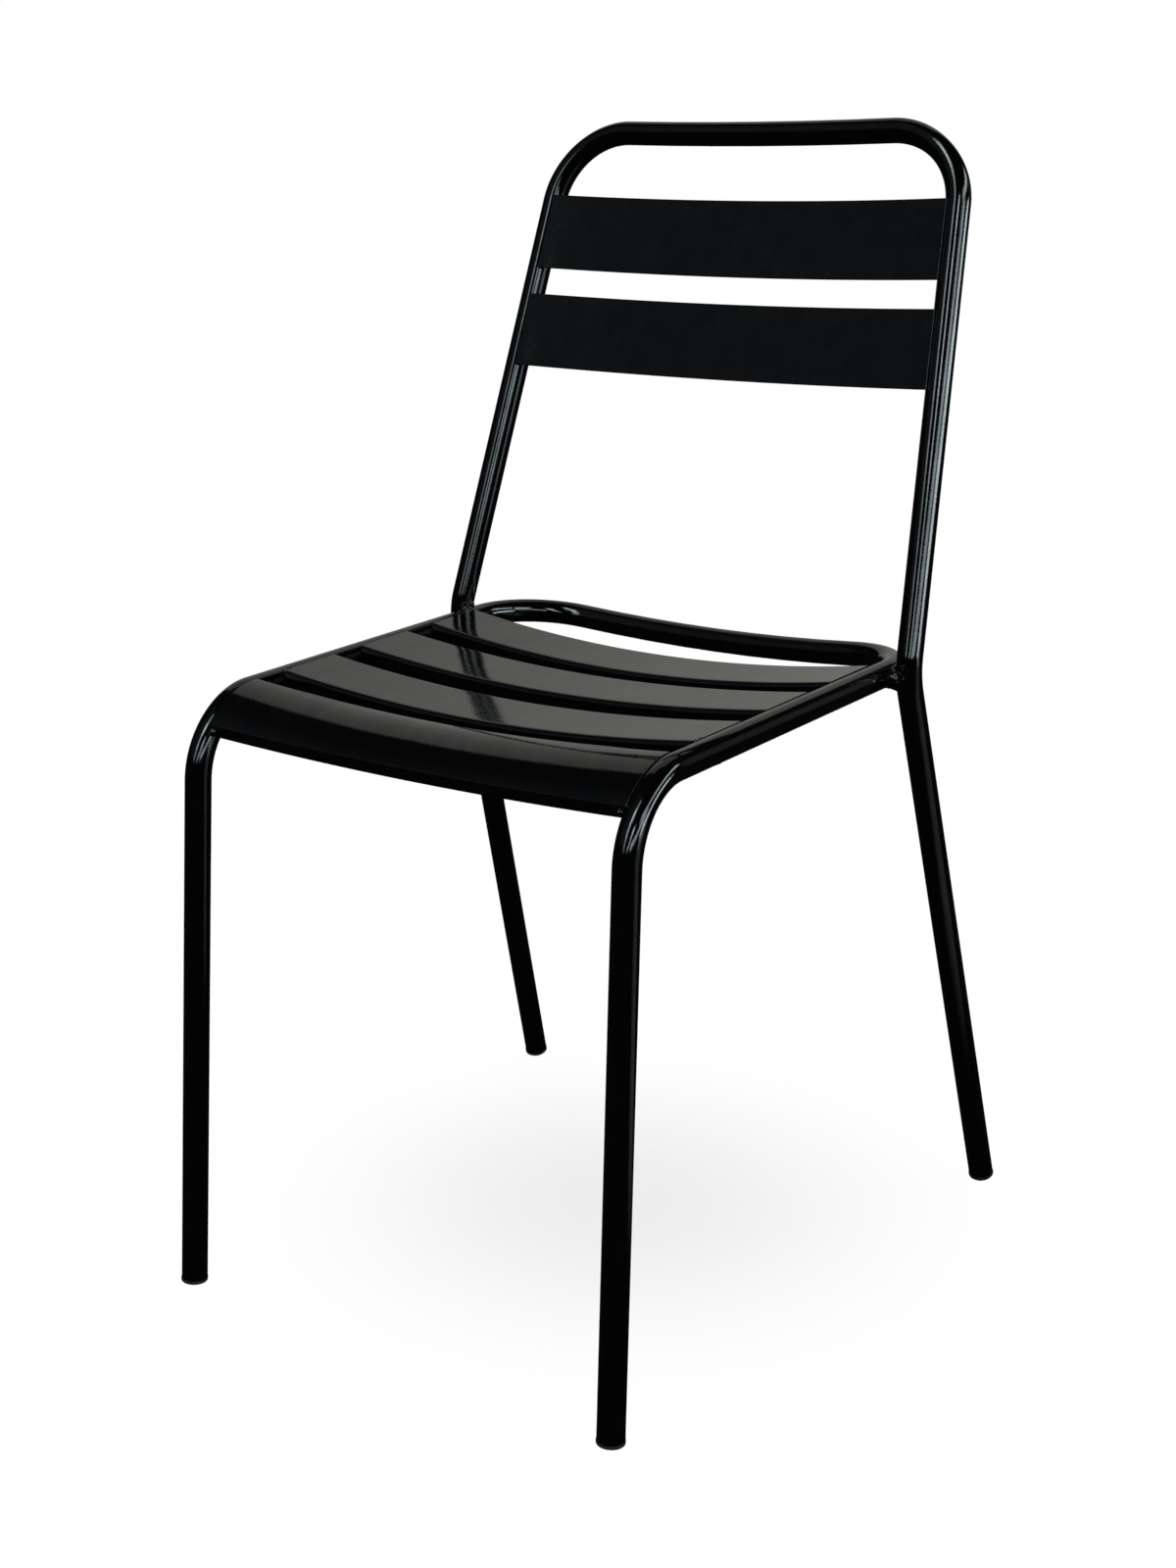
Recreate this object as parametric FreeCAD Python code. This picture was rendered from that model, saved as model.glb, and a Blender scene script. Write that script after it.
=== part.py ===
import FreeCAD, Part
import math
import os
from FreeCAD import Placement, Rotation, Vector

# Metal garden chair, a welded stacking chair of round steel tube and pressed sheet slats.
# Millimetres. +Z is up, the sitter faces -Y, and +X is on the right as seen from the front.
# Depths are first measured backwards from the front feet, and the whole chair is centred at the end.

# Tube of both bent frames
TUBE_DIAMETER = 19.0
TUBE_WALL = 1.5

# Front frame: two front legs, the side rails and the rear rail of the seat, bent from one tube
FRONT_FOOT_HALF_SPAN = 183.0
KNEE_HALF_SPAN = 179.4
REAR_CORNER_HALF_SPAN = 184.2
KNEE_SETBACK = 21.0
KNEE_HEIGHT = 432.0
RAIL_DEPTH = 399.0
RAIL_RISE = 7.7
KNEE_RADIUS = 57.0
REAR_CORNER_RADIUS = 66.5
REAR_RAIL_BOW = 8.5
REAR_RAIL_DIP = 8.8

# Rear hoop: two rear legs, the uprights and the top rail, bent from one tube.
# Its bends lie beside the side rails, a little ahead of the rear corners and a little above the rails.
REAR_FOOT_HALF_SPAN = 220.0
HOOP_AHEAD_OF_CORNER = 62.0
HOOP_ABOVE_RAIL = 1.8
REAR_LEG_SPLAY = 135.0
HOOP_BEND_RADIUS = 46.5
TOP_HALF_SPAN = 176.2
BACK_RAKE = 122.5
BACK_HEIGHT = 388.1
TOP_CORNER_RADIUS = 61.0
TOP_RAIL_DIP = 2.3

# Clearances
JOINT_GAP = 0.4
SLAT_SEAT_GAP = 0.2

# Seat slats: steel sheet, dished across the seat, with both long edges turned down
SEAT_SHEET = 1.5
SLAT_WIDTH = 61.0
SECOND_SLAT_START = 84.0
SPACE_BEHIND_SLATS = 74.0
SLAT_INSET = 6.6
FLANGE_DEPTH = 14.0
FLANGE_END_GAP = 3.0
FRONT_EDGE_INNER_RADIUS = 2.5
REAR_EDGE_INNER_RADIUS = 1.0
SEAT_DISH = 12.0
REAR_SLAT_DISH = 14.5

# Front slat: rolls over the knee bends and ends in a turned lip
FRONT_SLAT_GAP = 26.5
FRONT_SLAT_DISH = 8.5
FOLD_DISH = 4.0
ROLL_ANGLE = 49.0
FOLD_INNER_RADIUS = 0.7
LIP_DEPTH = 8.5
LIP_LEAN = 10.0
ROLL_STATIONS = 9

# Back slats: flat sheet, curved across the back, lying on the front of the uprights
BACK_SHEET = 2.0
BACK_SLAT_INSET = 5.2
UPPER_SLAT_BELOW_TOP = 56.0
UPPER_SLAT_WIDTH = 61.2
BACK_SLAT_GAP = 21.8
LOWER_SLAT_WIDTH = 60.0
BACK_DISH = 12.6

# Foot plugs: moulded plugs pressed into the open leg ends
PLUG_HEAD_HEIGHT = 2.6
PLUG_HEAD_OVERHANG = 0.3
PLUG_RIM_RADIUS = 1.0
PLUG_STEM_LENGTH = 16.0
PLUG_RIB_CLEARANCE = 0.25
PLUG_RIB_DEPTH = 1.2
PLUG_RIB_HEIGHT = 1.6
PLUG_RIBS = 3
SOLE_WEAR = 0.4

# Weld metal
CORNER_WELD_RADIUS = 8.5
TACK_RADIUS = 3.0
TACK_BITE = 0.3
SEAM_LENGTH = 10.0
SEAM_EDGE_DISTANCE = 12.0

TUBE_RADIUS = TUBE_DIAMETER / 2
BORE_RADIUS = TUBE_RADIUS - TUBE_WALL
FRONT_EDGE_RADIUS = FRONT_EDGE_INNER_RADIUS + SEAT_SHEET
REAR_EDGE_RADIUS = REAR_EDGE_INNER_RADIUS + SEAT_SHEET
FOLD_RADIUS = FOLD_INNER_RADIUS + SEAT_SHEET
PARTS = {}


# Points and frames

def mirrored(point):
    """The point on the chair's other side."""
    return Vector(-point.x, point.y, point.z)


KNEE = Vector(KNEE_HALF_SPAN, KNEE_SETBACK, KNEE_HEIGHT)
FRONT_FOOT = Vector(FRONT_FOOT_HALF_SPAN, 0, 0)
REAR_CORNER = Vector(REAR_CORNER_HALF_SPAN, KNEE_SETBACK + RAIL_DEPTH, KNEE_HEIGHT + RAIL_RISE)
RAIL_LENGTH = math.hypot(RAIL_DEPTH, RAIL_RISE)
SEAT_TILT = math.degrees(math.atan2(RAIL_RISE, RAIL_DEPTH))

RAIL_BESIDE_HOOP = KNEE + (REAR_CORNER - KNEE) * (1 - HOOP_AHEAD_OF_CORNER / RAIL_DEPTH)
HOOP_BEND = RAIL_BESIDE_HOOP + Vector(TUBE_DIAMETER + JOINT_GAP, 0, HOOP_ABOVE_RAIL)
REAR_FOOT = Vector(REAR_FOOT_HALF_SPAN, HOOP_BEND.y + REAR_LEG_SPLAY, 0)
TOP_CORNER = Vector(TOP_HALF_SPAN, HOOP_BEND.y + BACK_RAKE, HOOP_BEND.z + BACK_HEIGHT)
UPRIGHT_RUN = TOP_CORNER - HOOP_BEND
UPRIGHT_LENGTH = math.hypot(UPRIGHT_RUN.y, UPRIGHT_RUN.z)
BACK_LEAN = math.degrees(math.atan2(UPRIGHT_RUN.y, UPRIGHT_RUN.z))

# The seat frame has Y back along the side rails and Z square to them, from the middle between the knees.
# The back frame has Z up along the uprights and Y square to them, from the middle between the hoop bends.
SEAT_FRAME = Placement(Vector(0, KNEE.y, KNEE.z), Rotation(Vector(1, 0, 0), SEAT_TILT))
BACK_FRAME = Placement(Vector(0, HOOP_BEND.y, HOOP_BEND.z), Rotation(Vector(1, 0, 0), -BACK_LEAN))


def rail_half_span(along):
    """Half the distance between the side rails' centrelines, at a distance back from the knees."""
    return KNEE.x + (REAR_CORNER.x - KNEE.x) * along / RAIL_LENGTH


def upright_half_span(up):
    """Half the distance between the uprights' centrelines, at a distance up from the hoop's bends."""
    return HOOP_BEND.x + UPRIGHT_RUN.x * up / UPRIGHT_LENGTH


def placed(shape, frame):
    """A copy of the shape, moved from its own frame to the chair's."""
    copy = shape.copy()
    copy.Placement = frame.multiply(copy.Placement)
    return copy


# Bent tubes

def bend_setback(before, corner, after, radius):
    """How far a bend of this radius starts before its corner."""
    half = (before - corner).getAngle(after - corner) / 2
    return radius / math.tan(half)


def bent_path(points, radii):
    """Straight runs through the points, joined at each inner point by a tangent arc of its radius."""
    edges = []
    here = points[0]
    for before, corner, after, radius in zip(points, points[1:], points[2:], radii):
        back = (before - corner).normalize()
        ahead = (after - corner).normalize()
        setback = bend_setback(before, corner, after, radius)
        start = corner + back * setback
        end = corner + ahead * setback
        inward = (back + ahead).normalize()
        to_centre = math.hypot(radius, setback)
        middle = corner + inward * (to_centre - radius)
        if (start - here).Length > 0.01:
            edges.append(Part.LineSegment(here, start).toShape())
        edges.append(Part.Arc(start, middle, end).toShape())
        here = end
    edges.append(Part.LineSegment(here, points[-1]).toShape())
    return Part.Wire(edges)


def crossing_radius(before, corner, apex, corner_radius):
    """Radius of the arc that fills a bowed rail from corner bend to corner bend, under its apex."""
    free = (apex - corner).Length - bend_setback(before, corner, apex, corner_radius)
    half = (corner - apex).getAngle(mirrored(corner) - apex) / 2
    return free * math.tan(half) * 0.999


def hoop_path(foot, bend, bend_radius, corner, corner_radius, apex):
    """Centreline from foot to foot: leg, bend, corner, bowed cross rail, and the same on the other side."""
    rail_radius = crossing_radius(bend, corner, apex, corner_radius)
    points = [foot, bend, corner, apex, mirrored(corner), mirrored(bend), mirrored(foot)]
    radii = [bend_radius, corner_radius, rail_radius, corner_radius, bend_radius]
    return bent_path(points, radii)


def swept_disc(path, radius):
    """The solid that a disc sweeps along the path."""
    start = path.Edges[0].firstVertex().Point
    direction = path.Edges[0].tangentAt(path.Edges[0].FirstParameter)
    ring = Part.Wire([Part.Circle(start, direction, radius).toShape()])
    return path.makePipeShell([ring], True, False).Solids[0]


def leg_end_distance(foot, bend):
    """Distance up the leg's axis from the floor to the plug head's underside, and the axis direction."""
    axis = (bend - foot).normalize()
    upright = axis.z
    lean = math.sqrt(1 - upright ** 2)
    rim_circle = TUBE_RADIUS + PLUG_HEAD_OVERHANG - PLUG_RIM_RADIUS
    rim_height = PLUG_RIM_RADIUS - SOLE_WEAR + rim_circle * lean
    return rim_height / upright - PLUG_RIM_RADIUS, axis


def tube_end(foot, bend):
    """Where the leg's tube ends, on top of its plug's head."""
    distance, axis = leg_end_distance(foot, bend)
    return foot + axis * (distance + PLUG_HEAD_HEIGHT)


# A rail's bow is half of its apex's offset, because the arc passes half way to the apex.
REAR_RAIL_APEX = Vector(0, REAR_CORNER.y + 2 * REAR_RAIL_BOW, REAR_CORNER.z - 2 * REAR_RAIL_DIP)
TOP_RAIL_APEX = Vector(0, TOP_CORNER.y, TOP_CORNER.z - 2 * TOP_RAIL_DIP)
FRONT_PATH = hoop_path(
    tube_end(FRONT_FOOT, KNEE), KNEE, KNEE_RADIUS, REAR_CORNER, REAR_CORNER_RADIUS, REAR_RAIL_APEX
)
REAR_PATH = hoop_path(
    tube_end(REAR_FOOT, HOOP_BEND), HOOP_BEND, HOOP_BEND_RADIUS, TOP_CORNER, TOP_CORNER_RADIUS, TOP_RAIL_APEX
)
FRONT_ENVELOPE = swept_disc(FRONT_PATH, TUBE_RADIUS)
REAR_ENVELOPE = swept_disc(REAR_PATH, TUBE_RADIUS)


def make_tubes():
    """Both bent frames, open at their leg ends."""
    PARTS["front_frame_tube"] = FRONT_ENVELOPE.cut(swept_disc(FRONT_PATH, BORE_RADIUS))
    PARTS["rear_hoop_tube"] = REAR_ENVELOPE.cut(swept_disc(REAR_PATH, BORE_RADIUS))


# Foot plugs

def foot_plug(foot, bend):
    """A domed head under the tube's end, and a ribbed stem in its bore, worn flat on the floor."""
    head_radius = TUBE_RADIUS + PLUG_HEAD_OVERHANG
    rib_radius = BORE_RADIUS - PLUG_RIB_CLEARANCE
    core_radius = rib_radius - PLUG_RIB_DEPTH
    head = Part.makeCylinder(head_radius, PLUG_HEAD_HEIGHT)
    head = head.makeFillet(PLUG_RIM_RADIUS, [e for e in head.Edges if is_circle_at(e, 0)])
    plug = head.fuse(Part.makeCylinder(core_radius, PLUG_HEAD_HEIGHT + PLUG_STEM_LENGTH))
    spacing = PLUG_STEM_LENGTH / PLUG_RIBS
    for rib in range(PLUG_RIBS):
        top = PLUG_HEAD_HEIGHT + (rib + 1) * spacing
        base = Vector(0, 0, top - PLUG_RIB_HEIGHT)
        plug = plug.fuse(Part.makeCone(rib_radius, core_radius, PLUG_RIB_HEIGHT, base))
    distance, axis = leg_end_distance(foot, bend)
    stand = Placement(foot + axis * distance, Rotation(Vector(0, 0, 1), axis))
    plug = placed(plug.removeSplitter(), stand)
    reach = 2 * (PLUG_HEAD_HEIGHT + PLUG_STEM_LENGTH)
    above_floor = Part.makeBox(2 * reach, 2 * reach, reach, Vector(foot.x - reach, foot.y - reach, 0))
    return plug.common(above_floor)


def is_circle_at(edge, height):
    """True for a full circle that lies flat at this height."""
    box = edge.BoundBox
    return isinstance(edge.Curve, Part.Circle) and abs(box.ZMin - height) < 0.01 and box.ZLength < 0.01


def make_plugs():
    """One plug in each of the four legs."""
    for name, foot, bend in (("front", FRONT_FOOT, KNEE), ("rear", REAR_FOOT, HOOP_BEND)):
        PARTS["foot_plug_" + name + "_right"] = foot_plug(foot, bend)
        PARTS["foot_plug_" + name + "_left"] = foot_plug(mirrored(foot), mirrored(bend))


# Outlines in the plane across a slat

def outline(start, steps):
    """Closed wire in the plane X = 0. A step is a point, or a pair of an arc's middle and its end."""
    edges = []
    here = start
    for step in steps:
        if isinstance(step, tuple):
            edges.append(Part.Arc(here, step[0], step[1]).toShape())
            here = step[1]
        else:
            edges.append(Part.LineSegment(here, step).toShape())
            here = step
    edges.append(Part.LineSegment(here, start).toShape())
    return Part.Wire(edges)


def on_circle(centre, radius, angle):
    """Point of the plane X = 0 at this angle forward from straight up."""
    turn = math.radians(angle)
    return Vector(0, centre.y - radius * math.sin(turn), centre.z + radius * math.cos(turn))


def arc_to(centre, radius, start_angle, end_angle):
    """The arc between two angles of a circle, as its middle and its end."""
    middle_angle = (start_angle + end_angle) / 2
    return on_circle(centre, radius, middle_angle), on_circle(centre, radius, end_angle)


def channel_outline(front, rear, top):
    """Section of a slat: a flat top with a rounded front edge, a tighter rear edge and both flanges."""
    front_centre = Vector(0, front + FRONT_EDGE_RADIUS, top - FRONT_EDGE_RADIUS)
    rear_centre = Vector(0, rear - REAR_EDGE_RADIUS, top - REAR_EDGE_RADIUS)
    bottom = top - FLANGE_DEPTH
    steps = [
        on_circle(front_centre, FRONT_EDGE_RADIUS, 90),
        arc_to(front_centre, FRONT_EDGE_RADIUS, 90, 0),
        on_circle(rear_centre, REAR_EDGE_RADIUS, 0),
        arc_to(rear_centre, REAR_EDGE_RADIUS, 0, -90),
        Vector(0, rear, bottom),
        Vector(0, rear - SEAT_SHEET, bottom),
        on_circle(rear_centre, REAR_EDGE_INNER_RADIUS, -90),
        arc_to(rear_centre, REAR_EDGE_INNER_RADIUS, -90, 0),
        on_circle(front_centre, FRONT_EDGE_INNER_RADIUS, 0),
        arc_to(front_centre, FRONT_EDGE_INNER_RADIUS, 0, 90),
        Vector(0, front + SEAT_SHEET, bottom),
    ]
    return outline(Vector(0, front, bottom), steps)


# Seat slats

SHEET_UNDERSIDE = math.sqrt((TUBE_RADIUS + SLAT_SEAT_GAP) ** 2 - SLAT_INSET ** 2)
SLAT_END_TOP = SHEET_UNDERSIDE + SEAT_SHEET
FLANGE_INSET = TUBE_RADIUS + FLANGE_END_GAP
RAIL_COPE = swept_disc(FRONT_PATH, TUBE_RADIUS + SLAT_SEAT_GAP)
SLAT_REACH = 60.0


def between_rails(front, rear, inset, low, high):
    """Block between two planes that run along the side rails, this far inside their centrelines."""
    front_half = rail_half_span(front) - inset
    rear_half = rail_half_span(rear) - inset
    corners = [
        Vector(-front_half, front, low),
        Vector(front_half, front, low),
        Vector(rear_half, rear, low),
        Vector(-rear_half, rear, low),
    ]
    return Part.Face(Part.makePolygon(corners + corners[:1])).extrude(Vector(0, 0, high - low))


def flange_clearance(front, rear, top):
    """Space below this height, outside the flanges' ends, that keeps the flanges clear of the rails."""
    low = top - SLAT_REACH
    wide = between_rails(front, rear, -TUBE_RADIUS, low, top)
    return wide.cut(between_rails(front - 1, rear + 1, FLANGE_INSET, low - 1, top + 1))


def dished(section, dish, half_length, top):
    """Sweeps a section round the dish: an arc that sags by the dish between ends at this height."""
    radius = (half_length ** 2 + dish ** 2) / (2 * dish)
    reach = math.degrees(math.asin(half_length / radius)) * 1.1
    axis_point = Vector(0, 0, top - dish + radius)
    face = Part.Face(section)
    face.rotate(axis_point, Vector(0, 1, 0), -reach)
    return face.revolve(axis_point, Vector(0, 1, 0), 2 * reach)


def seat_slat(front, dish):
    """A dished channel between the side rails, its ends resting on their inner shoulders."""
    rear = front + SLAT_WIDTH
    half_length = rail_half_span(front + SLAT_WIDTH / 2) - SLAT_INSET
    sheet = dished(channel_outline(front, rear, SLAT_END_TOP - dish), dish, half_length, SLAT_END_TOP)
    low = SLAT_END_TOP - SLAT_REACH
    sheet = sheet.common(between_rails(front - 1, rear + 1, SLAT_INSET, low, SLAT_REACH))
    notch_top = SLAT_END_TOP - FRONT_EDGE_RADIUS - SEAT_SHEET / 2
    sheet = sheet.cut(flange_clearance(front - 1, rear + 1, notch_top))
    return placed(sheet, SEAT_FRAME).cut(RAIL_COPE).Solids[0]


KNEE_CENTRE = Vector(0, bend_setback(FRONT_FOOT, KNEE, REAR_CORNER, KNEE_RADIUS), -KNEE_RADIUS)
ROLL_RADIUS = KNEE_RADIUS + SLAT_END_TOP
FRONT_SLAT_REAR = SECOND_SLAT_START - FRONT_SLAT_GAP
FRONT_SLAT_HALF_LENGTH = rail_half_span(KNEE_CENTRE.y / 2) - SLAT_INSET


def roll_section(share):
    """Section of the front slat at this share of its half length, from the lip to the rear flange."""
    sag = 1 - share ** 2
    rear_top = SLAT_END_TOP - FRONT_SLAT_DISH * sag
    rear_centre = Vector(0, FRONT_SLAT_REAR - REAR_EDGE_RADIUS, rear_top - REAR_EDGE_RADIUS)
    lip_turn = 90 - LIP_LEAN
    turn = 90 + LIP_LEAN - ROLL_ANGLE
    fold_run = FOLD_RADIUS * math.tan(math.radians(turn) / 2)

    def roll_point(angle, depth):
        """Point of the roll, this deep in the sheet, lowered by the dish at that angle."""
        dish = FRONT_SLAT_DISH + (FOLD_DISH - FRONT_SLAT_DISH) * angle / ROLL_ANGLE
        point = on_circle(KNEE_CENTRE, ROLL_RADIUS - depth, angle)
        return Vector(0, point.y, point.z - dish * sag)

    corner = roll_point(ROLL_ANGLE, 0)
    along_roll = Vector(0, -math.cos(math.radians(ROLL_ANGLE)), -math.sin(math.radians(ROLL_ANGLE)))
    along_lip = Vector(0, math.cos(math.radians(lip_turn)), -math.sin(math.radians(lip_turn)))
    into_roll = Vector(0, -along_roll.z, along_roll.y)
    into_lip = Vector(0, -along_lip.z, along_lip.y)
    fold_centre = corner - along_roll * fold_run + into_roll * FOLD_RADIUS
    fold_middle = (into_roll + into_lip).normalize() * -1
    last_angle = ROLL_ANGLE - math.degrees(fold_run / ROLL_RADIUS)
    lip_end = corner + along_lip * LIP_DEPTH
    rear_angle = -math.degrees(math.asin((rear_centre.y - KNEE_CENTRE.y) / ROLL_RADIUS))
    middle_angle = (rear_angle + last_angle) / 2
    bottom = rear_top - FLANGE_DEPTH
    steps = [
        fold_centre - into_lip * FOLD_RADIUS,
        (fold_centre + fold_middle * FOLD_RADIUS, fold_centre - into_roll * FOLD_RADIUS),
        (roll_point(middle_angle, 0), on_circle(rear_centre, REAR_EDGE_RADIUS, 0)),
        arc_to(rear_centre, REAR_EDGE_RADIUS, 0, -90),
        Vector(0, FRONT_SLAT_REAR, bottom),
        Vector(0, FRONT_SLAT_REAR - SEAT_SHEET, bottom),
        on_circle(rear_centre, REAR_EDGE_INNER_RADIUS, -90),
        arc_to(rear_centre, REAR_EDGE_INNER_RADIUS, -90, 0),
        (roll_point(middle_angle, SEAT_SHEET), fold_centre - into_roll * FOLD_INNER_RADIUS),
        (fold_centre + fold_middle * FOLD_INNER_RADIUS, fold_centre - into_lip * FOLD_INNER_RADIUS),
        lip_end + into_lip * SEAT_SHEET,
    ]
    section = outline(lip_end, steps)
    section.translate(Vector(share * FRONT_SLAT_HALF_LENGTH, 0, 0))
    return section


def front_slat():
    """The slat that rolls over the knee bends, its dish fading out towards the fold."""
    shares = [2 * i / (ROLL_STATIONS - 1) - 1 for i in range(ROLL_STATIONS)]
    sheet = Part.makeLoft([roll_section(share) for share in shares], True, False)
    fold = on_circle(KNEE_CENTRE, ROLL_RADIUS, ROLL_ANGLE)
    flange_top = SLAT_END_TOP - REAR_EDGE_RADIUS - SEAT_SHEET
    sheet = sheet.cut(flange_clearance(FRONT_SLAT_REAR - FLANGE_DEPTH, FRONT_SLAT_REAR + 1, flange_top))
    sheet = sheet.cut(flange_clearance(fold.y - LIP_DEPTH, fold.y + LIP_DEPTH, fold.z - FOLD_RADIUS))
    return placed(sheet, SEAT_FRAME).cut(RAIL_COPE).Solids[0]


def slat_starts():
    """Where the second, third and rear slats start, spread evenly along the side rails."""
    pitch = (RAIL_LENGTH - SPACE_BEHIND_SLATS - SLAT_WIDTH - SECOND_SLAT_START) / 2
    return [SECOND_SLAT_START + pitch * step for step in range(3)]


def make_seat():
    """The four seat slats, from front to rear."""
    second, third, rear = slat_starts()
    PARTS["seat_slat_front"] = front_slat()
    PARTS["seat_slat_second"] = seat_slat(second, SEAT_DISH)
    PARTS["seat_slat_third"] = seat_slat(third, SEAT_DISH)
    PARTS["seat_slat_rear"] = seat_slat(rear, REAR_SLAT_DISH)


# Back slats

BACK_SLAT_REAR = -math.sqrt((TUBE_RADIUS + SLAT_SEAT_GAP) ** 2 - BACK_SLAT_INSET ** 2)
UPPER_SLAT_START = UPRIGHT_LENGTH - UPPER_SLAT_BELOW_TOP - UPPER_SLAT_WIDTH
LOWER_SLAT_START = UPPER_SLAT_START - BACK_SLAT_GAP - LOWER_SLAT_WIDTH


def back_slat(bottom, width):
    """A curved strip across the uprights' front, its ends on their inner shoulders."""
    top = bottom + width
    half_length = upright_half_span(bottom + width / 2) - BACK_SLAT_INSET
    radius = (half_length ** 2 + BACK_DISH ** 2) / (2 * BACK_DISH)
    reach = math.degrees(math.asin(half_length / radius)) * 1.1
    front = BACK_SLAT_REAR - BACK_SHEET
    corners = [
        Vector(0, front + BACK_DISH, bottom),
        Vector(0, front + BACK_DISH, top),
        Vector(0, BACK_SLAT_REAR + BACK_DISH, top),
        Vector(0, BACK_SLAT_REAR + BACK_DISH, bottom),
    ]
    face = Part.Face(Part.makePolygon(corners + corners[:1]))
    axis_point = Vector(0, front + BACK_DISH - radius, 0)
    face.rotate(axis_point, Vector(0, 0, 1), -reach)
    strip = face.revolve(axis_point, Vector(0, 0, 1), 2 * reach)
    bottom_half = upright_half_span(bottom) - BACK_SLAT_INSET
    top_half = upright_half_span(top) - BACK_SLAT_INSET
    ends = [
        Vector(-bottom_half, -SLAT_REACH, bottom),
        Vector(bottom_half, -SLAT_REACH, bottom),
        Vector(top_half, -SLAT_REACH, top),
        Vector(-top_half, -SLAT_REACH, top),
    ]
    strip = strip.common(Part.Face(Part.makePolygon(ends + ends[:1])).extrude(Vector(0, 2 * SLAT_REACH, 0)))
    cope = swept_disc(REAR_PATH, TUBE_RADIUS + SLAT_SEAT_GAP)
    return placed(strip, BACK_FRAME).cut(cope).Solids[0]


def make_back():
    """Both back slats."""
    PARTS["back_slat_lower"] = back_slat(LOWER_SLAT_START, LOWER_SLAT_WIDTH)
    PARTS["back_slat_upper"] = back_slat(UPPER_SLAT_START, UPPER_SLAT_WIDTH)


# Welds

def tacks(local, frame, tube, sheet):
    """Round tacks at a point of this frame and at its mirror image, filling the gap from tube to sheet."""
    beads = []
    for point in (local, mirrored(local)):
        bead = Part.makeSphere(TACK_RADIUS, frame.multVec(point))
        beads += bead.cut(tube).cut(sheet).Solids
    return beads


def seams(local, run, frame, tube, sheet):
    """Short seams with rounded ends from a point along a run, and their mirror images."""
    beads = []
    for start, end in ((local, local + run), (mirrored(local), mirrored(local + run))):
        first = frame.multVec(start)
        axis = frame.multVec(end) - first
        bead = Part.makeCylinder(TACK_RADIUS, axis.Length, first, axis)
        rims = [edge for edge in bead.Edges if isinstance(edge.Curve, Part.Circle)]
        bead = bead.makeFillet(TACK_RADIUS / 2, rims)
        beads += bead.cut(tube).cut(sheet).Solids
    return beads


def make_corner_welds():
    """The weld between each rear corner of the front frame and the hoop's upright beside it."""
    nearest = FRONT_PATH.distToShape(REAR_PATH)[1]
    for name, side in (("right", 1), ("left", -1)):
        on_rail, on_hoop = [pair for pair in nearest if pair[0].x * side > 0][0]
        axis = on_hoop - on_rail
        collar = Part.makeCylinder(CORNER_WELD_RADIUS, axis.Length, on_rail, axis)
        PARTS["corner_weld_" + name] = collar.cut(FRONT_ENVELOPE).cut(REAR_ENVELOPE)


def make_seat_welds():
    """Four beads under each slat, between its flanges' ends and the rails, and the lip's two."""
    middle_of_gap = TUBE_RADIUS + FLANGE_END_GAP / 2
    height = SLAT_END_TOP - FLANGE_DEPTH / 2 - TACK_RADIUS / 2
    names = ("second", "third", "rear")
    for name, front in zip(names, slat_starts()):
        slat = PARTS["seat_slat_" + name]
        beads = []
        for along in (front + SEAT_SHEET / 2, front + SLAT_WIDTH - SEAT_SHEET / 2):
            point = Vector(rail_half_span(along) - middle_of_gap, along, height)
            beads += tacks(point, SEAT_FRAME, FRONT_ENVELOPE, slat)
        PARTS["tack_welds_" + name + "_slat"] = Part.makeCompound(beads)
    slat = PARTS["seat_slat_front"]
    along = FRONT_SLAT_REAR - SEAT_SHEET / 2
    point = Vector(rail_half_span(along) - middle_of_gap, along, height)
    PARTS["tack_welds_front_slat"] = Part.makeCompound(tacks(point, SEAT_FRAME, FRONT_ENVELOPE, slat))
    lip = on_circle(KNEE_CENTRE, ROLL_RADIUS, ROLL_ANGLE) - Vector(0, 0, LIP_DEPTH / 2)
    above_axis = math.hypot(lip.y - KNEE_CENTRE.y, lip.z - KNEE_CENTRE.z) - KNEE_RADIUS
    reach = math.sqrt((TUBE_RADIUS + TACK_RADIUS - TACK_BITE) ** 2 - above_axis ** 2)
    lip.x = rail_half_span(lip.y) - reach
    PARTS["tack_welds_front_lip"] = Part.makeCompound(tacks(lip, SEAT_FRAME, FRONT_ENVELOPE, slat))


def make_back_welds():
    """Four seams behind each back slat, in the corners between the sheet and the uprights' inner sides."""
    depth = BACK_SLAT_REAR + TACK_RADIUS
    reach = math.sqrt((TUBE_RADIUS + TACK_RADIUS - TACK_BITE) ** 2 - depth ** 2)
    run = Vector(UPRIGHT_RUN.x / UPRIGHT_LENGTH, 0, 1) * SEAM_LENGTH
    slats = (("lower", LOWER_SLAT_START, LOWER_SLAT_WIDTH), ("upper", UPPER_SLAT_START, UPPER_SLAT_WIDTH))
    for name, bottom, width in slats:
        beads = []
        for middle in (bottom + SEAM_EDGE_DISTANCE, bottom + width - SEAM_EDGE_DISTANCE):
            up = middle - SEAM_LENGTH / 2
            point = Vector(upright_half_span(up) - reach, depth, up)
            beads += seams(point, run, BACK_FRAME, REAR_ENVELOPE, PARTS["back_slat_" + name])
        PARTS["weld_seams_" + name + "_back_slat"] = Part.makeCompound(beads)


# The whole chair

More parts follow.
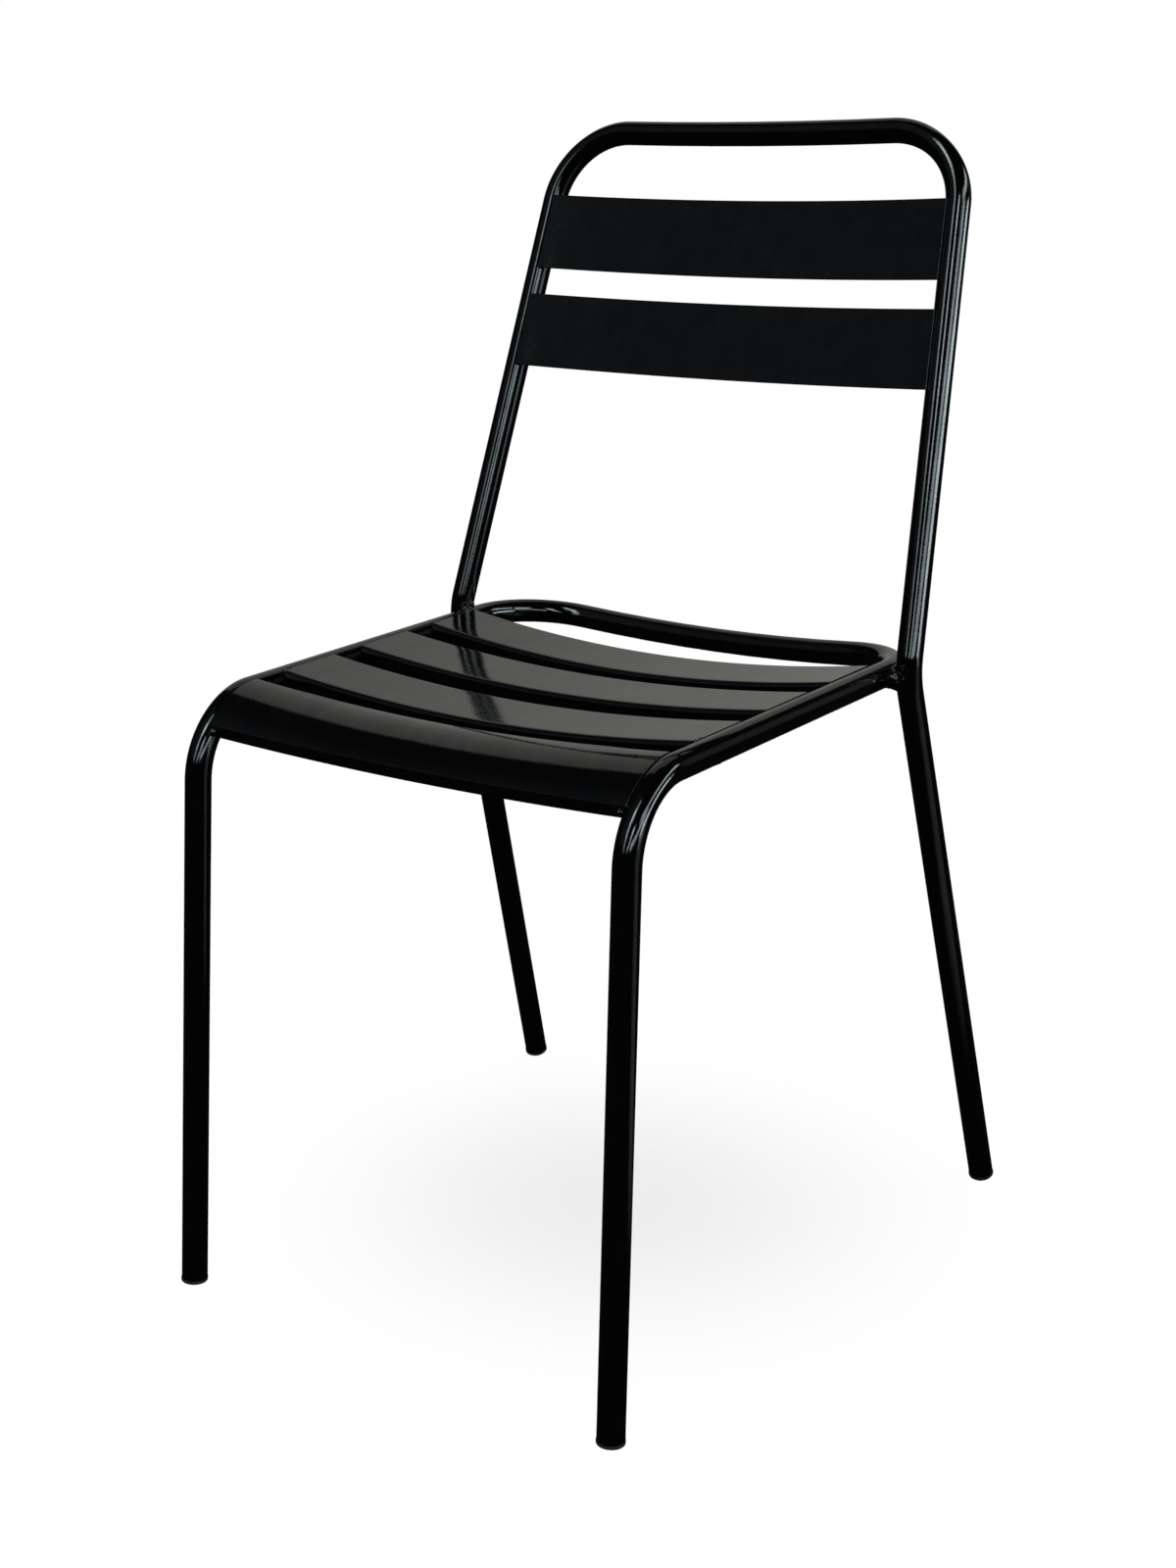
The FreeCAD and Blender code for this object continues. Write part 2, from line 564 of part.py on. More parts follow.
def write_parts():
    """Centres the chair over its origin and writes each piece to its own file."""
    os.makedirs("parts", exist_ok=True)
    whole = Part.makeCompound(list(PARTS.values())).optimalBoundingBox(False, False)
    shift = Vector(0, -(whole.YMin + whole.YMax) / 2, 0)
    for name, shape in PARTS.items():
        moved = shape.copy()
        moved.translate(shift)
        moved.exportStep("parts/" + name + ".step")
        state = "valid" if moved.isValid() else "NOT VALID"
        print(name, len(moved.Solids), "solids", state, round(moved.Volume))
    print("size", round(whole.XLength, 2), round(whole.YLength, 2), round(whole.ZLength, 2))
    print("moved back by", round(shift.y, 3), "lowest point at", round(whole.ZMin, 4))


make_tubes()
make_plugs()
make_seat()
make_back()
make_corner_welds()
make_seat_welds()
make_back_welds()
write_parts()
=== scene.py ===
import bmesh
import bpy
import math
from mathutils import Matrix, Vector, noise


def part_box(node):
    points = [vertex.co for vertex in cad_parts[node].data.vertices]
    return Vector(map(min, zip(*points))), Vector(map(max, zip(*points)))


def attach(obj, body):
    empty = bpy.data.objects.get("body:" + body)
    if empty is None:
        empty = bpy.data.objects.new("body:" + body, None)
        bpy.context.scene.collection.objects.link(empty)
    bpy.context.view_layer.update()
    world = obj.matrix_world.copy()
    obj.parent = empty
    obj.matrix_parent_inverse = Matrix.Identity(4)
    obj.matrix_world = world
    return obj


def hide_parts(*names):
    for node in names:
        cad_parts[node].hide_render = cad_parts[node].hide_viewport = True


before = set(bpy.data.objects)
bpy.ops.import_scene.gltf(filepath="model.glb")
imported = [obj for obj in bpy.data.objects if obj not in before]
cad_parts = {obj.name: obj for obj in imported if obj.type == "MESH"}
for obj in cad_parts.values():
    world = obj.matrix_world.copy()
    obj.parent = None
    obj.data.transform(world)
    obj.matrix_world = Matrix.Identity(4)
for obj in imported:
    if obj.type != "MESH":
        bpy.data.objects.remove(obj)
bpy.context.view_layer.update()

# Metal garden chair of gloss black tube and pressed sheet slats.
# Sizes are in millimetres until a mesh is written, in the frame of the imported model.

MM = 0.001

# Tubes
TUBE_RADIUS = 9.5
TUBE_WALL = 1.5
TUBE_SIDES = 72
BEND_STEP_DEGREES = 2.0
STRAIGHT_STEP = 14.0
BEND_FLATTENING = 0.9
FULLY_FLATTENED_RADIUS = 60.0
INSIDE_FLATTENING = 0.25
APEX_RADIUS_SHARE = 0.999
END_ROUNDING = 0.35
BORE_DEPTH = 18.0
BORE_CORE = 0.5

# Front frame
FRONT_FOOT_HALF_SPAN = 183.0
KNEE_HALF_SPAN = 179.4
REAR_CORNER_HALF_SPAN = 184.2
KNEE_SETBACK = 21.0
KNEE_HEIGHT = 432.0
RAIL_DEPTH = 399.0
RAIL_RISE = 7.7
KNEE_RADIUS = 57.0
REAR_CORNER_RADIUS = 66.5
REAR_RAIL_BOW = 8.5
REAR_RAIL_DIP = 8.8

# Rear hoop
REAR_FOOT_HALF_SPAN = 220.0
HOOP_AHEAD_OF_CORNER = 62.0
HOOP_ABOVE_RAIL = 1.8
REAR_LEG_SPLAY = 135.0
HOOP_BEND_RADIUS = 46.5
TOP_HALF_SPAN = 176.2
BACK_RAKE = 122.5
BACK_HEIGHT = 388.1
TOP_CORNER_RADIUS = 61.0
TOP_RAIL_DIP = 2.3
JOINT_GAP = 0.4

# Seat slats
SEAT_SHEET = 1.5
SLAT_WIDTH = 61.0
SECOND_SLAT_START = 84.0
SPACE_BEHIND_SLATS = 74.0
SLAT_INSET = 6.6
END_OVERLAP = 1.2
SLAT_SEAT_GAP = 0.2
FLANGE_DEPTH = 14.0
FLANGE_INSET = 12.5
FLANGE_EASE = 2.0
RIM_ROW = 1.0
FRONT_EDGE_RADIUS = 4.0
REAR_EDGE_RADIUS = 2.5
SEAT_DISH = 12.0
DISH_WIDTH_AT = 200.0
REAR_SLAT_DISH = 14.5
FRONT_SLAT_GAP = 26.5
FRONT_SLAT_DISH = 8.5
FOLD_DISH = 4.0
ROLL_ANGLE = 49.0
FOLD_RADIUS = 2.2
LIP_DEPTH = 8.5
LIP_LEAN = 10.0
LIP_INSET = 9.4
SHEET_ROUNDING = 0.3
SHEET_STATIONS = 41
FLAT_STEPS = 8
FRONT_EDGE_STEPS = 8
REAR_EDGE_STEPS = 6
FOLD_STEPS = 6
LIP_STEPS = 5
ROLL_STEPS = 28

# Back slats
BACK_SHEET = 2.0
BACK_SLAT_INSET = 5.2
UPPER_SLAT_BELOW_TOP = 56.0
UPPER_SLAT_WIDTH = 61.2
BACK_SLAT_GAP = 21.8
LOWER_SLAT_WIDTH = 60.0
BACK_DISH = 12.6
BACK_SLAT_STEPS = 12

# Foot plugs
PLUG_HEAD_HEIGHT = 2.6
PLUG_HEAD_OVERHANG = 0.3
PLUG_RIM_RADIUS = 1.0
SOLE_WEAR = 0.4

# Corner welds
COLLAR_RADIUS = 8.7
COLLAR_DROOP = 3.4
COLLAR_UNDERSIDE = 10.4
COLLAR_SAG = Vector((0, -0.5, -0.87))
COLLAR_WAIST = 0.25
COLLAR_UNDERSIDE_FILL = 0.7
COLLAR_HOLLOWNESS = 1.3
COLLAR_SINK = 0.35
COLLAR_SINK_STEP = 0.15
COLLAR_SIDES = 160
COLLAR_STEPS = 20
COLLAR_LUMPS = 0.2
COLLAR_LUMP_SIZE = 3.0
COLLAR_RIPPLE = 0.2
COLLAR_GRAIN = 0.7
COLLAR_GRAIN_SIZE = 0.8

# Beads of weld metal
TACK_RADIUS = 3.0
TUCK_UNDER = 3.6
TUCK_DOWN = 5.6
TUCK_OUTWARD = 0.6
LIP_TACK_OUTWARD = 1.5
BEAD_SIDES = 20
BEAD_RIPPLE = 0.07
RIPPLE_LENGTH = 1.7
BEAD_GRAIN = 0.25
BEAD_GRAIN_SIZE = 1.4
BEAD_SEED_STEP = 7.3


# Meshes

def write_mesh(name, points, faces):
    """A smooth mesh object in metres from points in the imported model's frame, in millimetres."""
    mesh = bpy.data.meshes.new(name)
    mesh.from_pydata([tuple(p * MM) for p in points], [], faces)
    mesh.validate()
    made = bmesh.new()
    made.from_mesh(mesh)
    bmesh.ops.recalc_face_normals(made, faces=made.faces)
    made.to_mesh(mesh)
    made.free()
    for polygon in mesh.polygons:
        polygon.use_smooth = True
    piece = bpy.data.objects.new(name, mesh)
    bpy.context.scene.collection.objects.link(piece)
    return piece


def even_normals(piece):
    """Lets each flat face keep its own normal beside the narrow faces of its rounded edges."""
    modifier = piece.modifiers.new("even_normals", "WEIGHTED_NORMAL")
    modifier.mode = "FACE_AREA"
    modifier.weight = 80
    modifier.keep_sharp = True
    return piece


def loop_quads(first, second, count):
    """Quads between two closed loops of points that start at these indices."""
    quads = []
    for k in range(count):
        after = (k + 1) % count
        quads.append((first + k, first + after, second + after, second + k))
    return quads


# Points of both frames

def mirrored(point):
    return Vector((-point.x, point.y, point.z))


def turned(point, degrees):
    """The point turned about X."""
    return Matrix.Rotation(math.radians(degrees), 3, "X") @ point


KNEE = Vector((KNEE_HALF_SPAN, KNEE_SETBACK, KNEE_HEIGHT))
FRONT_FOOT = Vector((FRONT_FOOT_HALF_SPAN, 0, 0))
REAR_CORNER = Vector((REAR_CORNER_HALF_SPAN, KNEE_SETBACK + RAIL_DEPTH, KNEE_HEIGHT + RAIL_RISE))
RAIL_LENGTH = math.hypot(RAIL_DEPTH, RAIL_RISE)
SEAT_TILT = math.degrees(math.atan2(RAIL_RISE, RAIL_DEPTH))
RAIL_BESIDE_HOOP = KNEE + (REAR_CORNER - KNEE) * (1 - HOOP_AHEAD_OF_CORNER / RAIL_DEPTH)
HOOP_BEND = RAIL_BESIDE_HOOP + Vector((2 * TUBE_RADIUS + JOINT_GAP, 0, HOOP_ABOVE_RAIL))
REAR_FOOT = Vector((REAR_FOOT_HALF_SPAN, HOOP_BEND.y + REAR_LEG_SPLAY, 0))
TOP_CORNER = Vector((TOP_HALF_SPAN, HOOP_BEND.y + BACK_RAKE, HOOP_BEND.z + BACK_HEIGHT))
UPRIGHT_RUN = TOP_CORNER - HOOP_BEND
UPRIGHT_LENGTH = math.hypot(UPRIGHT_RUN.y, UPRIGHT_RUN.z)
BACK_LEAN = math.degrees(math.atan2(UPRIGHT_RUN.y, UPRIGHT_RUN.z))
REAR_RAIL_APEX = Vector((0, REAR_CORNER.y + 2 * REAR_RAIL_BOW, REAR_CORNER.z - 2 * REAR_RAIL_DIP))
TOP_RAIL_APEX = Vector((0, TOP_CORNER.y, TOP_CORNER.z - 2 * TOP_RAIL_DIP))

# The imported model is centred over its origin, so its plugs tell how far the chair was moved back.
plug_low, plug_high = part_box("foot_plug_front_right")
SHIFT = Vector((0, (plug_low.y + plug_high.y) / 2 / MM - FRONT_FOOT.y, 0))


def rail_half_span(along):
    """Distance of the side rail's centreline from the chair's middle."""
    return KNEE.x + (REAR_CORNER.x - KNEE.x) * along / RAIL_LENGTH


def upright_half_span(up):
    """Distance of the upright's centreline from the chair's middle."""
    return HOOP_BEND.x + UPRIGHT_RUN.x * up / UPRIGHT_LENGTH


def from_seat(point):
    """From the seat frame (Y back along the rails, Z square to them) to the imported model's."""
    return Vector((0, KNEE.y, KNEE.z)) + turned(point, SEAT_TILT) + SHIFT


def from_back(point):
    """From the back frame (Z up the uprights, Y square to them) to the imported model's."""
    return Vector((0, HOOP_BEND.y, HOOP_BEND.z)) + turned(point, -BACK_LEAN) + SHIFT


# Bent tubes

def bend_setback(before, corner, after, radius):
    """Distance from a corner to where its tangent arc starts."""
    return radius / math.tan((before - corner).angle(after - corner) / 2)


def crossing_radius(before, corner, apex, corner_radius):
    """Radius of a crossing rail's bow, which takes up nearly all of the run between its corners."""
    free = (apex - corner).length - bend_setback(before, corner, apex, corner_radius)
    half = (corner - apex).angle(mirrored(corner) - apex) / 2
    return free * math.tan(half) * APEX_RADIUS_SHARE


def run_stations(start, end):
    """Stations along a straight run: place, outward side of a bend, share of its flattening."""
    count = max(1, round((end - start).length / STRAIGHT_STEP))
    return [(start.lerp(end, i / count), None, 0.0) for i in range(count)]


def bend_stations(start, corner, end, radius):
    """Stations round a tangent arc."""
    back = (start - corner).normalized()
    ahead = (end - corner).normalized()
    inward = (back + ahead).normalized()
    centre = corner + inward * math.hypot(radius, (start - corner).length)
    sweep = math.pi - back.angle(ahead)
    count = max(6, round(math.degrees(sweep) / BEND_STEP_DEGREES))
    first = (start - centre).normalized()
    second = (end - centre).normalized()
    flattening = min(1.0, FULLY_FLATTENED_RADIUS / radius)
    made = []
    for i in range(count):
        share = i / count
        arm = first.slerp(second, share)
        strength = flattening * math.sin(math.pi * share) ** 2
        made.append((centre + arm * radius, arm, strength))
    return made


def path_stations(points, radii):
    """Stations along straight runs and the tangent arcs that join them."""
    made = []
    here = points[0]
    for before, corner, after, radius in zip(points, points[1:], points[2:], radii):
        setback = bend_setback(before, corner, after, radius)
        start = corner + (before - corner).normalized() * setback
        end = corner + (after - corner).normalized() * setback
        if (start - here).length > 1:
            made += run_stations(here, start)
        made += bend_stations(start, corner, end, radius)
        here = end
    return made + run_stations(here, points[-1]) + [(points[-1], None, 0.0)]


def hoop_stations(foot, bend, bend_radius, corner, corner_radius, apex):
    """Stations of a tube that is the same on both sides, from its right foot to its left."""
    rail_radius = crossing_radius(bend, corner, apex, corner_radius)
    points = [foot, bend, corner, apex, mirrored(corner), mirrored(bend), mirrored(foot)]
    return path_stations(points, [bend_radius, corner_radius, rail_radius, corner_radius, bend_radius])


def bent_radius(direction, outward, strength):
    """Radius of the tube's skin in a bend, which is flatter outside and a little so inside."""
    if outward is None:
        return TUBE_RADIUS
    facing = direction.dot(outward)
    share = 1.0 if facing > 0 else INSIDE_FLATTENING
    return TUBE_RADIUS - share * BEND_FLATTENING * strength * facing ** 2


def quarter_round(radius):
    """Depth and inset of four points round the edge of an end."""
    turns = [math.radians(30 * step) for step in range(4)]
    return [(radius * (1 - math.sin(turn)), radius * (1 - math.cos(turn))) for turn in turns]


def tube(name, stations):
    """A tube with rounded open ends, hollow as far as its foot plugs reach."""
    places = [place + SHIFT for place, outward, strength in stations]
    last = len(places) - 1
    neighbours = [(places[max(i - 1, 0)], places[min(i + 1, last)]) for i in range(last + 1)]
    tangents = [(after - before).normalized() for before, after in neighbours]
    rim = quarter_round(END_ROUNDING) + [(0, TUBE_WALL - END_ROUNDING), (END_ROUNDING, TUBE_WALL)]
    rim += [(BORE_DEPTH, TUBE_WALL), (BORE_DEPTH, TUBE_RADIUS - BORE_CORE)]
    side = tangents[0].orthogonal().normalized()
    points = []
    for i, (centre, tangent) in enumerate(zip(places, tangents)):
        side = (side - tangent * side.dot(tangent)).normalized()
        across = tangent.cross(side)
        rings = [(centre, 0.0)]
        if i == 0:
            rings = [(centre + tangent * depth, shrink) for depth, shrink in rim[::-1]]
        elif i == last:
            rings = [(centre - tangent * depth, shrink) for depth, shrink in rim]
        for middle, shrink in rings:
            for k in range(TUBE_SIDES):
                turn = 2 * math.pi * k / TUBE_SIDES
                direction = side * math.cos(turn) + across * math.sin(turn)
                radius = bent_radius(direction, stations[i][1], stations[i][2]) - shrink
                points.append(middle + direction * radius)
    faces = []
    count = len(points) // TUBE_SIDES
    for i in range(count - 1):
        faces += loop_quads(i * TUBE_SIDES, (i + 1) * TUBE_SIDES, TUBE_SIDES)
    faces.append(tuple(range(TUBE_SIDES)))
    faces.append(tuple(range((count - 1) * TUBE_SIDES, count * TUBE_SIDES)))
    return write_mesh(name, points, faces)


def leg_end(foot, bend):
    """Where the leg's tube ends: on its axis, on top of the plug's head."""
    axis = (bend - foot).normalized()
    lean = math.sqrt(1 - axis.z ** 2)
    rim_circle = TUBE_RADIUS + PLUG_HEAD_OVERHANG - PLUG_RIM_RADIUS
    distance = (PLUG_RIM_RADIUS - SOLE_WEAR + rim_circle * lean) / axis.z - PLUG_RIM_RADIUS
    return foot + axis * (distance + PLUG_HEAD_HEIGHT)


front_leg_end = leg_end(FRONT_FOOT, KNEE)
rear_leg_end = leg_end(REAR_FOOT, HOOP_BEND)
front_stations = hoop_stations(
    front_leg_end, KNEE, KNEE_RADIUS, REAR_CORNER, REAR_CORNER_RADIUS, REAR_RAIL_APEX
)
rear_stations = hoop_stations(
    rear_leg_end, HOOP_BEND, HOOP_BEND_RADIUS, TOP_CORNER, TOP_CORNER_RADIUS, TOP_RAIL_APEX
)
front_tube = tube("front_tube", front_stations)
hoop_tube = tube("hoop_tube", rear_stations)


# Sheet slats

SLAT_END_TOP = math.sqrt((TUBE_RADIUS + SLAT_SEAT_GAP) ** 2 - SLAT_INSET ** 2) + SEAT_SHEET
KNEE_CENTRE = Vector((0, bend_setback(FRONT_FOOT, KNEE, REAR_CORNER, KNEE_RADIUS), -KNEE_RADIUS))
ROLL_RADIUS = KNEE_RADIUS + SLAT_END_TOP
FRONT_SLAT_REAR = SECOND_SLAT_START - FRONT_SLAT_GAP
FRONT_SLAT_HALF_LENGTH = rail_half_span(KNEE_CENTRE.y / 2) - SLAT_INSET


def arc_points(centre, radius, first, last, count):
    """Points (y, z) round a circle, at angles forward from straight up, in degrees."""
    made = []
    for i in range(count + 1):
        turn = math.radians(first + (last - first) * i / count)
        made.append((centre[0] - radius * math.sin(turn), centre[1] + radius * math.cos(turn)))
    return made


def eased(share):
    """A smooth step from 0 to 1."""
    share = min(1.0, max(0.0, share))
    return share * share * (3 - 2 * share)


def run_points(start, end, count):
    """Points (y, z) along a straight run, without its ends."""
    return [
        (start[0] + (end[0] - start[0]) * i / count, start[1] + (end[1] - start[1]) * i / count)
        for i in range(1, count)
    ]


def rounded_loop(line, half):
    """Closed loop round a bent sheet with this middle line, with rounded rims at both ends."""
    count = len(line)
    normals = []
    for j in range(count):
        before = line[max(j - 1, 0)]
        after = line[min(j + 1, count - 1)]
        length = math.hypot(after[0] - before[0], after[1] - before[1])
        normals.append((-(after[1] - before[1]) / length, (after[0] - before[0]) / length))
    rounding = min(SHEET_ROUNDING, half)

    def rim(j, sign):
        """Rim at one end of the line: sign 1 at its last point, -1 at its first."""
        y, z = line[j]
        ny, nz = normals[j]
        ty, tz = nz * sign, -ny * sign
        made = [(back, half - inset) for back, inset in quarter_round(rounding)]
        made += [(back, -out) for back, out in made[::-1]]
        return [(y - ty * back + ny * out * sign, z - tz * back + nz * out * sign) for back, out in made]

    upper = [(y + ny * half, z + nz * half) for (y, z), (ny, nz) in zip(line, normals)][1:-1]
    lower = [(y - ny * half, z - nz * half) for (y, z), (ny, nz) in zip(line, normals)][1:-1]
    return upper + rim(count - 1, 1) + lower[::-1] + rim(0, -1)


def sheet(name, section, half_length, bend, thickness):
    """A pressed sheet. section(share) gives its middle line at a share of the half length,
    half_length(y, z) where each point of the line ends, and bend(x, y, z) its place after dishing,
    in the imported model's frame."""
    rows = []
    ends = quarter_round(SHEET_ROUNDING)
    shares = [(-1.0, inset, thin) for inset, thin in ends[::-1]]
    shares += [(2 * i / (SHEET_STATIONS - 1) - 1, 0, 0) for i in range(1, SHEET_STATIONS - 1)]
    shares += [(1.0, inset, thin) for inset, thin in ends]
    for share, inset, thin in shares:
        loop = rounded_loop(section(share), thickness / 2 - thin)
        row = []
        for y, z in loop:
            x = share * half_length(y, z)
            x -= math.copysign(inset, share)
            row.append(bend(x, y, z))
        rows.append(row)
    count = len(rows[0])
    points = [point for row in rows for point in row]
    faces = []
    for i in range(len(rows) - 1):
        faces += loop_quads(i * count, (i + 1) * count, count)
    middle = len(section(0)) - 2
    rim = 8
    for base in (0, (len(rows) - 1) * count):
        upper = list(range(middle))
        far_rim = list(range(middle, middle + rim))
        lower = list(range(middle + rim, 2 * middle + rim))
        near_rim = list(range(2 * middle + rim, count))
        for j in range(middle - 1):
            pair = (lower[middle - 1 - j], lower[middle - 2 - j])
            faces.append(tuple(base + k for k in (upper[j], upper[j + 1], pair[1], pair[0])))
        sides = [(upper[-1], far_rim, lower[0]), (lower[-1], near_rim, upper[0])]
        for first, middle_points, last in sides:
            faces.append(tuple(base + k for k in [first] + middle_points + [last]))
    return even_normals(write_mesh(name, points, faces))


def dished(dish, top_of_middle, frame_map):
    """Bends a section round the dish: an arc that sags by the dish between the sheet's ends."""
    half = rail_half_span(DISH_WIDTH_AT) - SLAT_INSET
    radius = (half ** 2 + dish ** 2) / (2 * dish)

    def bend(x, y, z):
        depth = top_of_middle - z
        height = top_of_middle + radius - math.sqrt((radius + depth) ** 2 - x ** 2)
        return frame_map(Vector((x, y, height)))

    return bend


def seat_slat(name, front, dish):
    """A dished channel with a rounded front edge, a tighter rear edge and both flanges turned down."""
    rear = front + SLAT_WIDTH
    top = SLAT_END_TOP - dish
    half = SEAT_SHEET / 2
    front_centre = (front + FRONT_EDGE_RADIUS, top - FRONT_EDGE_RADIUS)
    rear_centre = (rear - REAR_EDGE_RADIUS, top - REAR_EDGE_RADIUS)
    bottom = top - FLANGE_DEPTH
    line = [(front + half, bottom), (front + half, bottom + RIM_ROW)]
    line += [(front + half, top - FRONT_EDGE_RADIUS - RIM_ROW)]
    line += arc_points(front_centre, FRONT_EDGE_RADIUS - half, 90, 0, FRONT_EDGE_STEPS)
    line += run_points((front_centre[0], top - half), (rear_centre[0], top - half), FLAT_STEPS)
    line += arc_points(rear_centre, REAR_EDGE_RADIUS - half, 0, -90, REAR_EDGE_STEPS)
    line += [(rear - half, top - REAR_EDGE_RADIUS - RIM_ROW)]
    line += [(rear - half, bottom + RIM_ROW), (rear - half, bottom)]

    def half_length(y, z):
        """The flanges end short of the rails, and the sheet above them lies on the rails."""
        below = (top - 2 * SEAT_SHEET - z) / FLANGE_EASE
        inset = SLAT_INSET - END_OVERLAP
        return rail_half_span(y) - inset - (FLANGE_INSET - inset) * eased(below)

    return sheet(name, lambda share: line, half_length, dished(dish, top, from_seat), SEAT_SHEET)


def circle_through(first, second, third):
    """Centre and radius of the circle through three points (y, z)."""
    ay, az = first
    by, bz = second
    cy, cz = third
    d = 2 * (ay * (bz - cz) + by * (cz - az) + cy * (az - bz))
    a2, b2, c2 = ay ** 2 + az ** 2, by ** 2 + bz ** 2, cy ** 2 + cz ** 2
    uy = (a2 * (bz - cz) + b2 * (cz - az) + c2 * (az - bz)) / d
    uz = (a2 * (cy - by) + b2 * (ay - cy) + c2 * (by - ay)) / d
    return (uy, uz), math.hypot(ay - uy, az - uz)


def forward_angle(centre, point):
    """Angle of the point forward from straight up, in degrees."""
    return math.degrees(math.atan2(centre[0] - point[0], point[1] - centre[1]))


def roll_line(share):
    """Middle line of the front slat at a share of its half length, from its lip to its rear flange."""
    half = SEAT_SHEET / 2
    sag = 1 - share ** 2
    rear_top = SLAT_END_TOP - FRONT_SLAT_DISH * sag
    rear_centre = (FRONT_SLAT_REAR - REAR_EDGE_RADIUS, rear_top - REAR_EDGE_RADIUS)
    turn = 90 + LIP_LEAN - ROLL_ANGLE
    fold_run = FOLD_RADIUS * math.tan(math.radians(turn) / 2)

    def roll_point(angle, depth):
        dish = FRONT_SLAT_DISH + (FOLD_DISH - FRONT_SLAT_DISH) * angle / ROLL_ANGLE
        bend = math.radians(angle)
        radius = ROLL_RADIUS - depth
        return (
            KNEE_CENTRE.y - radius * math.sin(bend),
            KNEE_CENTRE.z + radius * math.cos(bend) - dish * sag,
        )

    corner = roll_point(ROLL_ANGLE, 0)
    roll = math.radians(ROLL_ANGLE)
    lean = math.radians(LIP_LEAN)
    along_roll = (-math.cos(roll), -math.sin(roll))
    along_lip = (math.sin(lean), -math.cos(lean))
    into_roll = (-along_roll[1], along_roll[0])
    into_lip = (-along_lip[1], along_lip[0])
    centre = tuple(corner[k] - along_roll[k] * fold_run + into_roll[k] * FOLD_RADIUS for k in range(2))
    fold = FOLD_RADIUS - half
    lip_end = tuple(corner[k] + along_lip[k] * LIP_DEPTH + into_lip[k] * half for k in range(2))
    lip_start = tuple(centre[k] - into_lip[k] * fold for k in range(2))
    fold_end = tuple(centre[k] - into_roll[k] * fold for k in range(2))
    line = [lip_end] + run_points(lip_end, lip_start, LIP_STEPS)
    first = forward_angle(centre, lip_start)
    last = forward_angle(centre, fold_end)
    line += arc_points(centre, fold, first, last, FOLD_STEPS)
    last_angle = ROLL_ANGLE - math.degrees(fold_run / ROLL_RADIUS)
    rear_angle = -math.degrees(math.asin((rear_centre[0] - KNEE_CENTRE.y) / ROLL_RADIUS))
    rear_point = (rear_centre[0], rear_top - half)
    roll_centre, roll_radius = circle_through(
        fold_end, roll_point((rear_angle + last_angle) / 2, half), rear_point
    )
    first = forward_angle(roll_centre, fold_end)
    last = forward_angle(roll_centre, rear_point)
    line += arc_points(roll_centre, roll_radius, first, last, ROLL_STEPS)[1:-1]
    line += arc_points(rear_centre, REAR_EDGE_RADIUS - half, 0, -90, REAR_EDGE_STEPS)
    rear = FRONT_SLAT_REAR - half
    bottom = rear_top - FLANGE_DEPTH
    line += [(rear, rear_top - REAR_EDGE_RADIUS - RIM_ROW), (rear, bottom + RIM_ROW), (rear, bottom)]
    return line


def front_slat(name):
    """The slat that rolls over the knee bends, its dish fading out towards the fold."""
    fold_y = KNEE_CENTRE.y - ROLL_RADIUS * math.sin(math.radians(ROLL_ANGLE))
    fold_z = KNEE_CENTRE.z + ROLL_RADIUS * math.cos(math.radians(ROLL_ANGLE))

    def half_length(y, z):
        """The rear flange ends short of the tube, and the lip at its side."""
        inset, below = SLAT_INSET, 0.0
        if y > FRONT_SLAT_REAR - REAR_EDGE_RADIUS:
            inset, below = FLANGE_INSET, (SLAT_END_TOP - REAR_EDGE_RADIUS - z) / FLANGE_EASE
        elif y < fold_y + 1.5 * LIP_DEPTH and z < fold_z:
            inset, below = LIP_INSET, (fold_z - FOLD_RADIUS - z) / FLANGE_EASE
        reach = FRONT_SLAT_HALF_LENGTH + END_OVERLAP
        return reach - (inset - SLAT_INSET + END_OVERLAP) * eased(below)

    def bend(x, y, z):
        return from_seat(Vector((x, y, z)))

    return sheet(name, roll_line, half_length, bend, SEAT_SHEET)


BACK_SLAT_REAR = -math.sqrt((TUBE_RADIUS + SLAT_SEAT_GAP) ** 2 - BACK_SLAT_INSET ** 2)
UPPER_SLAT_START = UPRIGHT_LENGTH - UPPER_SLAT_BELOW_TOP - UPPER_SLAT_WIDTH
LOWER_SLAT_START = UPPER_SLAT_START - BACK_SLAT_GAP - LOWER_SLAT_WIDTH


def back_slat(name, bottom, width):
    """A curved strip across the uprights' front, its ends on their inner shoulders."""
    half = upright_half_span(bottom + width / 2) - BACK_SLAT_INSET
    radius = (half ** 2 + BACK_DISH ** 2) / (2 * BACK_DISH)
    front = BACK_SLAT_REAR - BACK_SHEET
    middle = front + BACK_DISH + BACK_SHEET / 2
    ends = ((middle, bottom), (middle, bottom + width))
    line = [ends[0]] + run_points(ends[0], ends[1], BACK_SLAT_STEPS) + [ends[1]]
    axis = front + BACK_DISH - radius

    def bend(x, y, z):
        depth = y - front - BACK_DISH
        return from_back(Vector((x, axis + math.sqrt((radius + depth) ** 2 - x ** 2), z)))

    def half_length(y, z):
        return upright_half_span(z) - BACK_SLAT_INSET

    return sheet(name, lambda share: line, half_length, bend, BACK_SHEET)


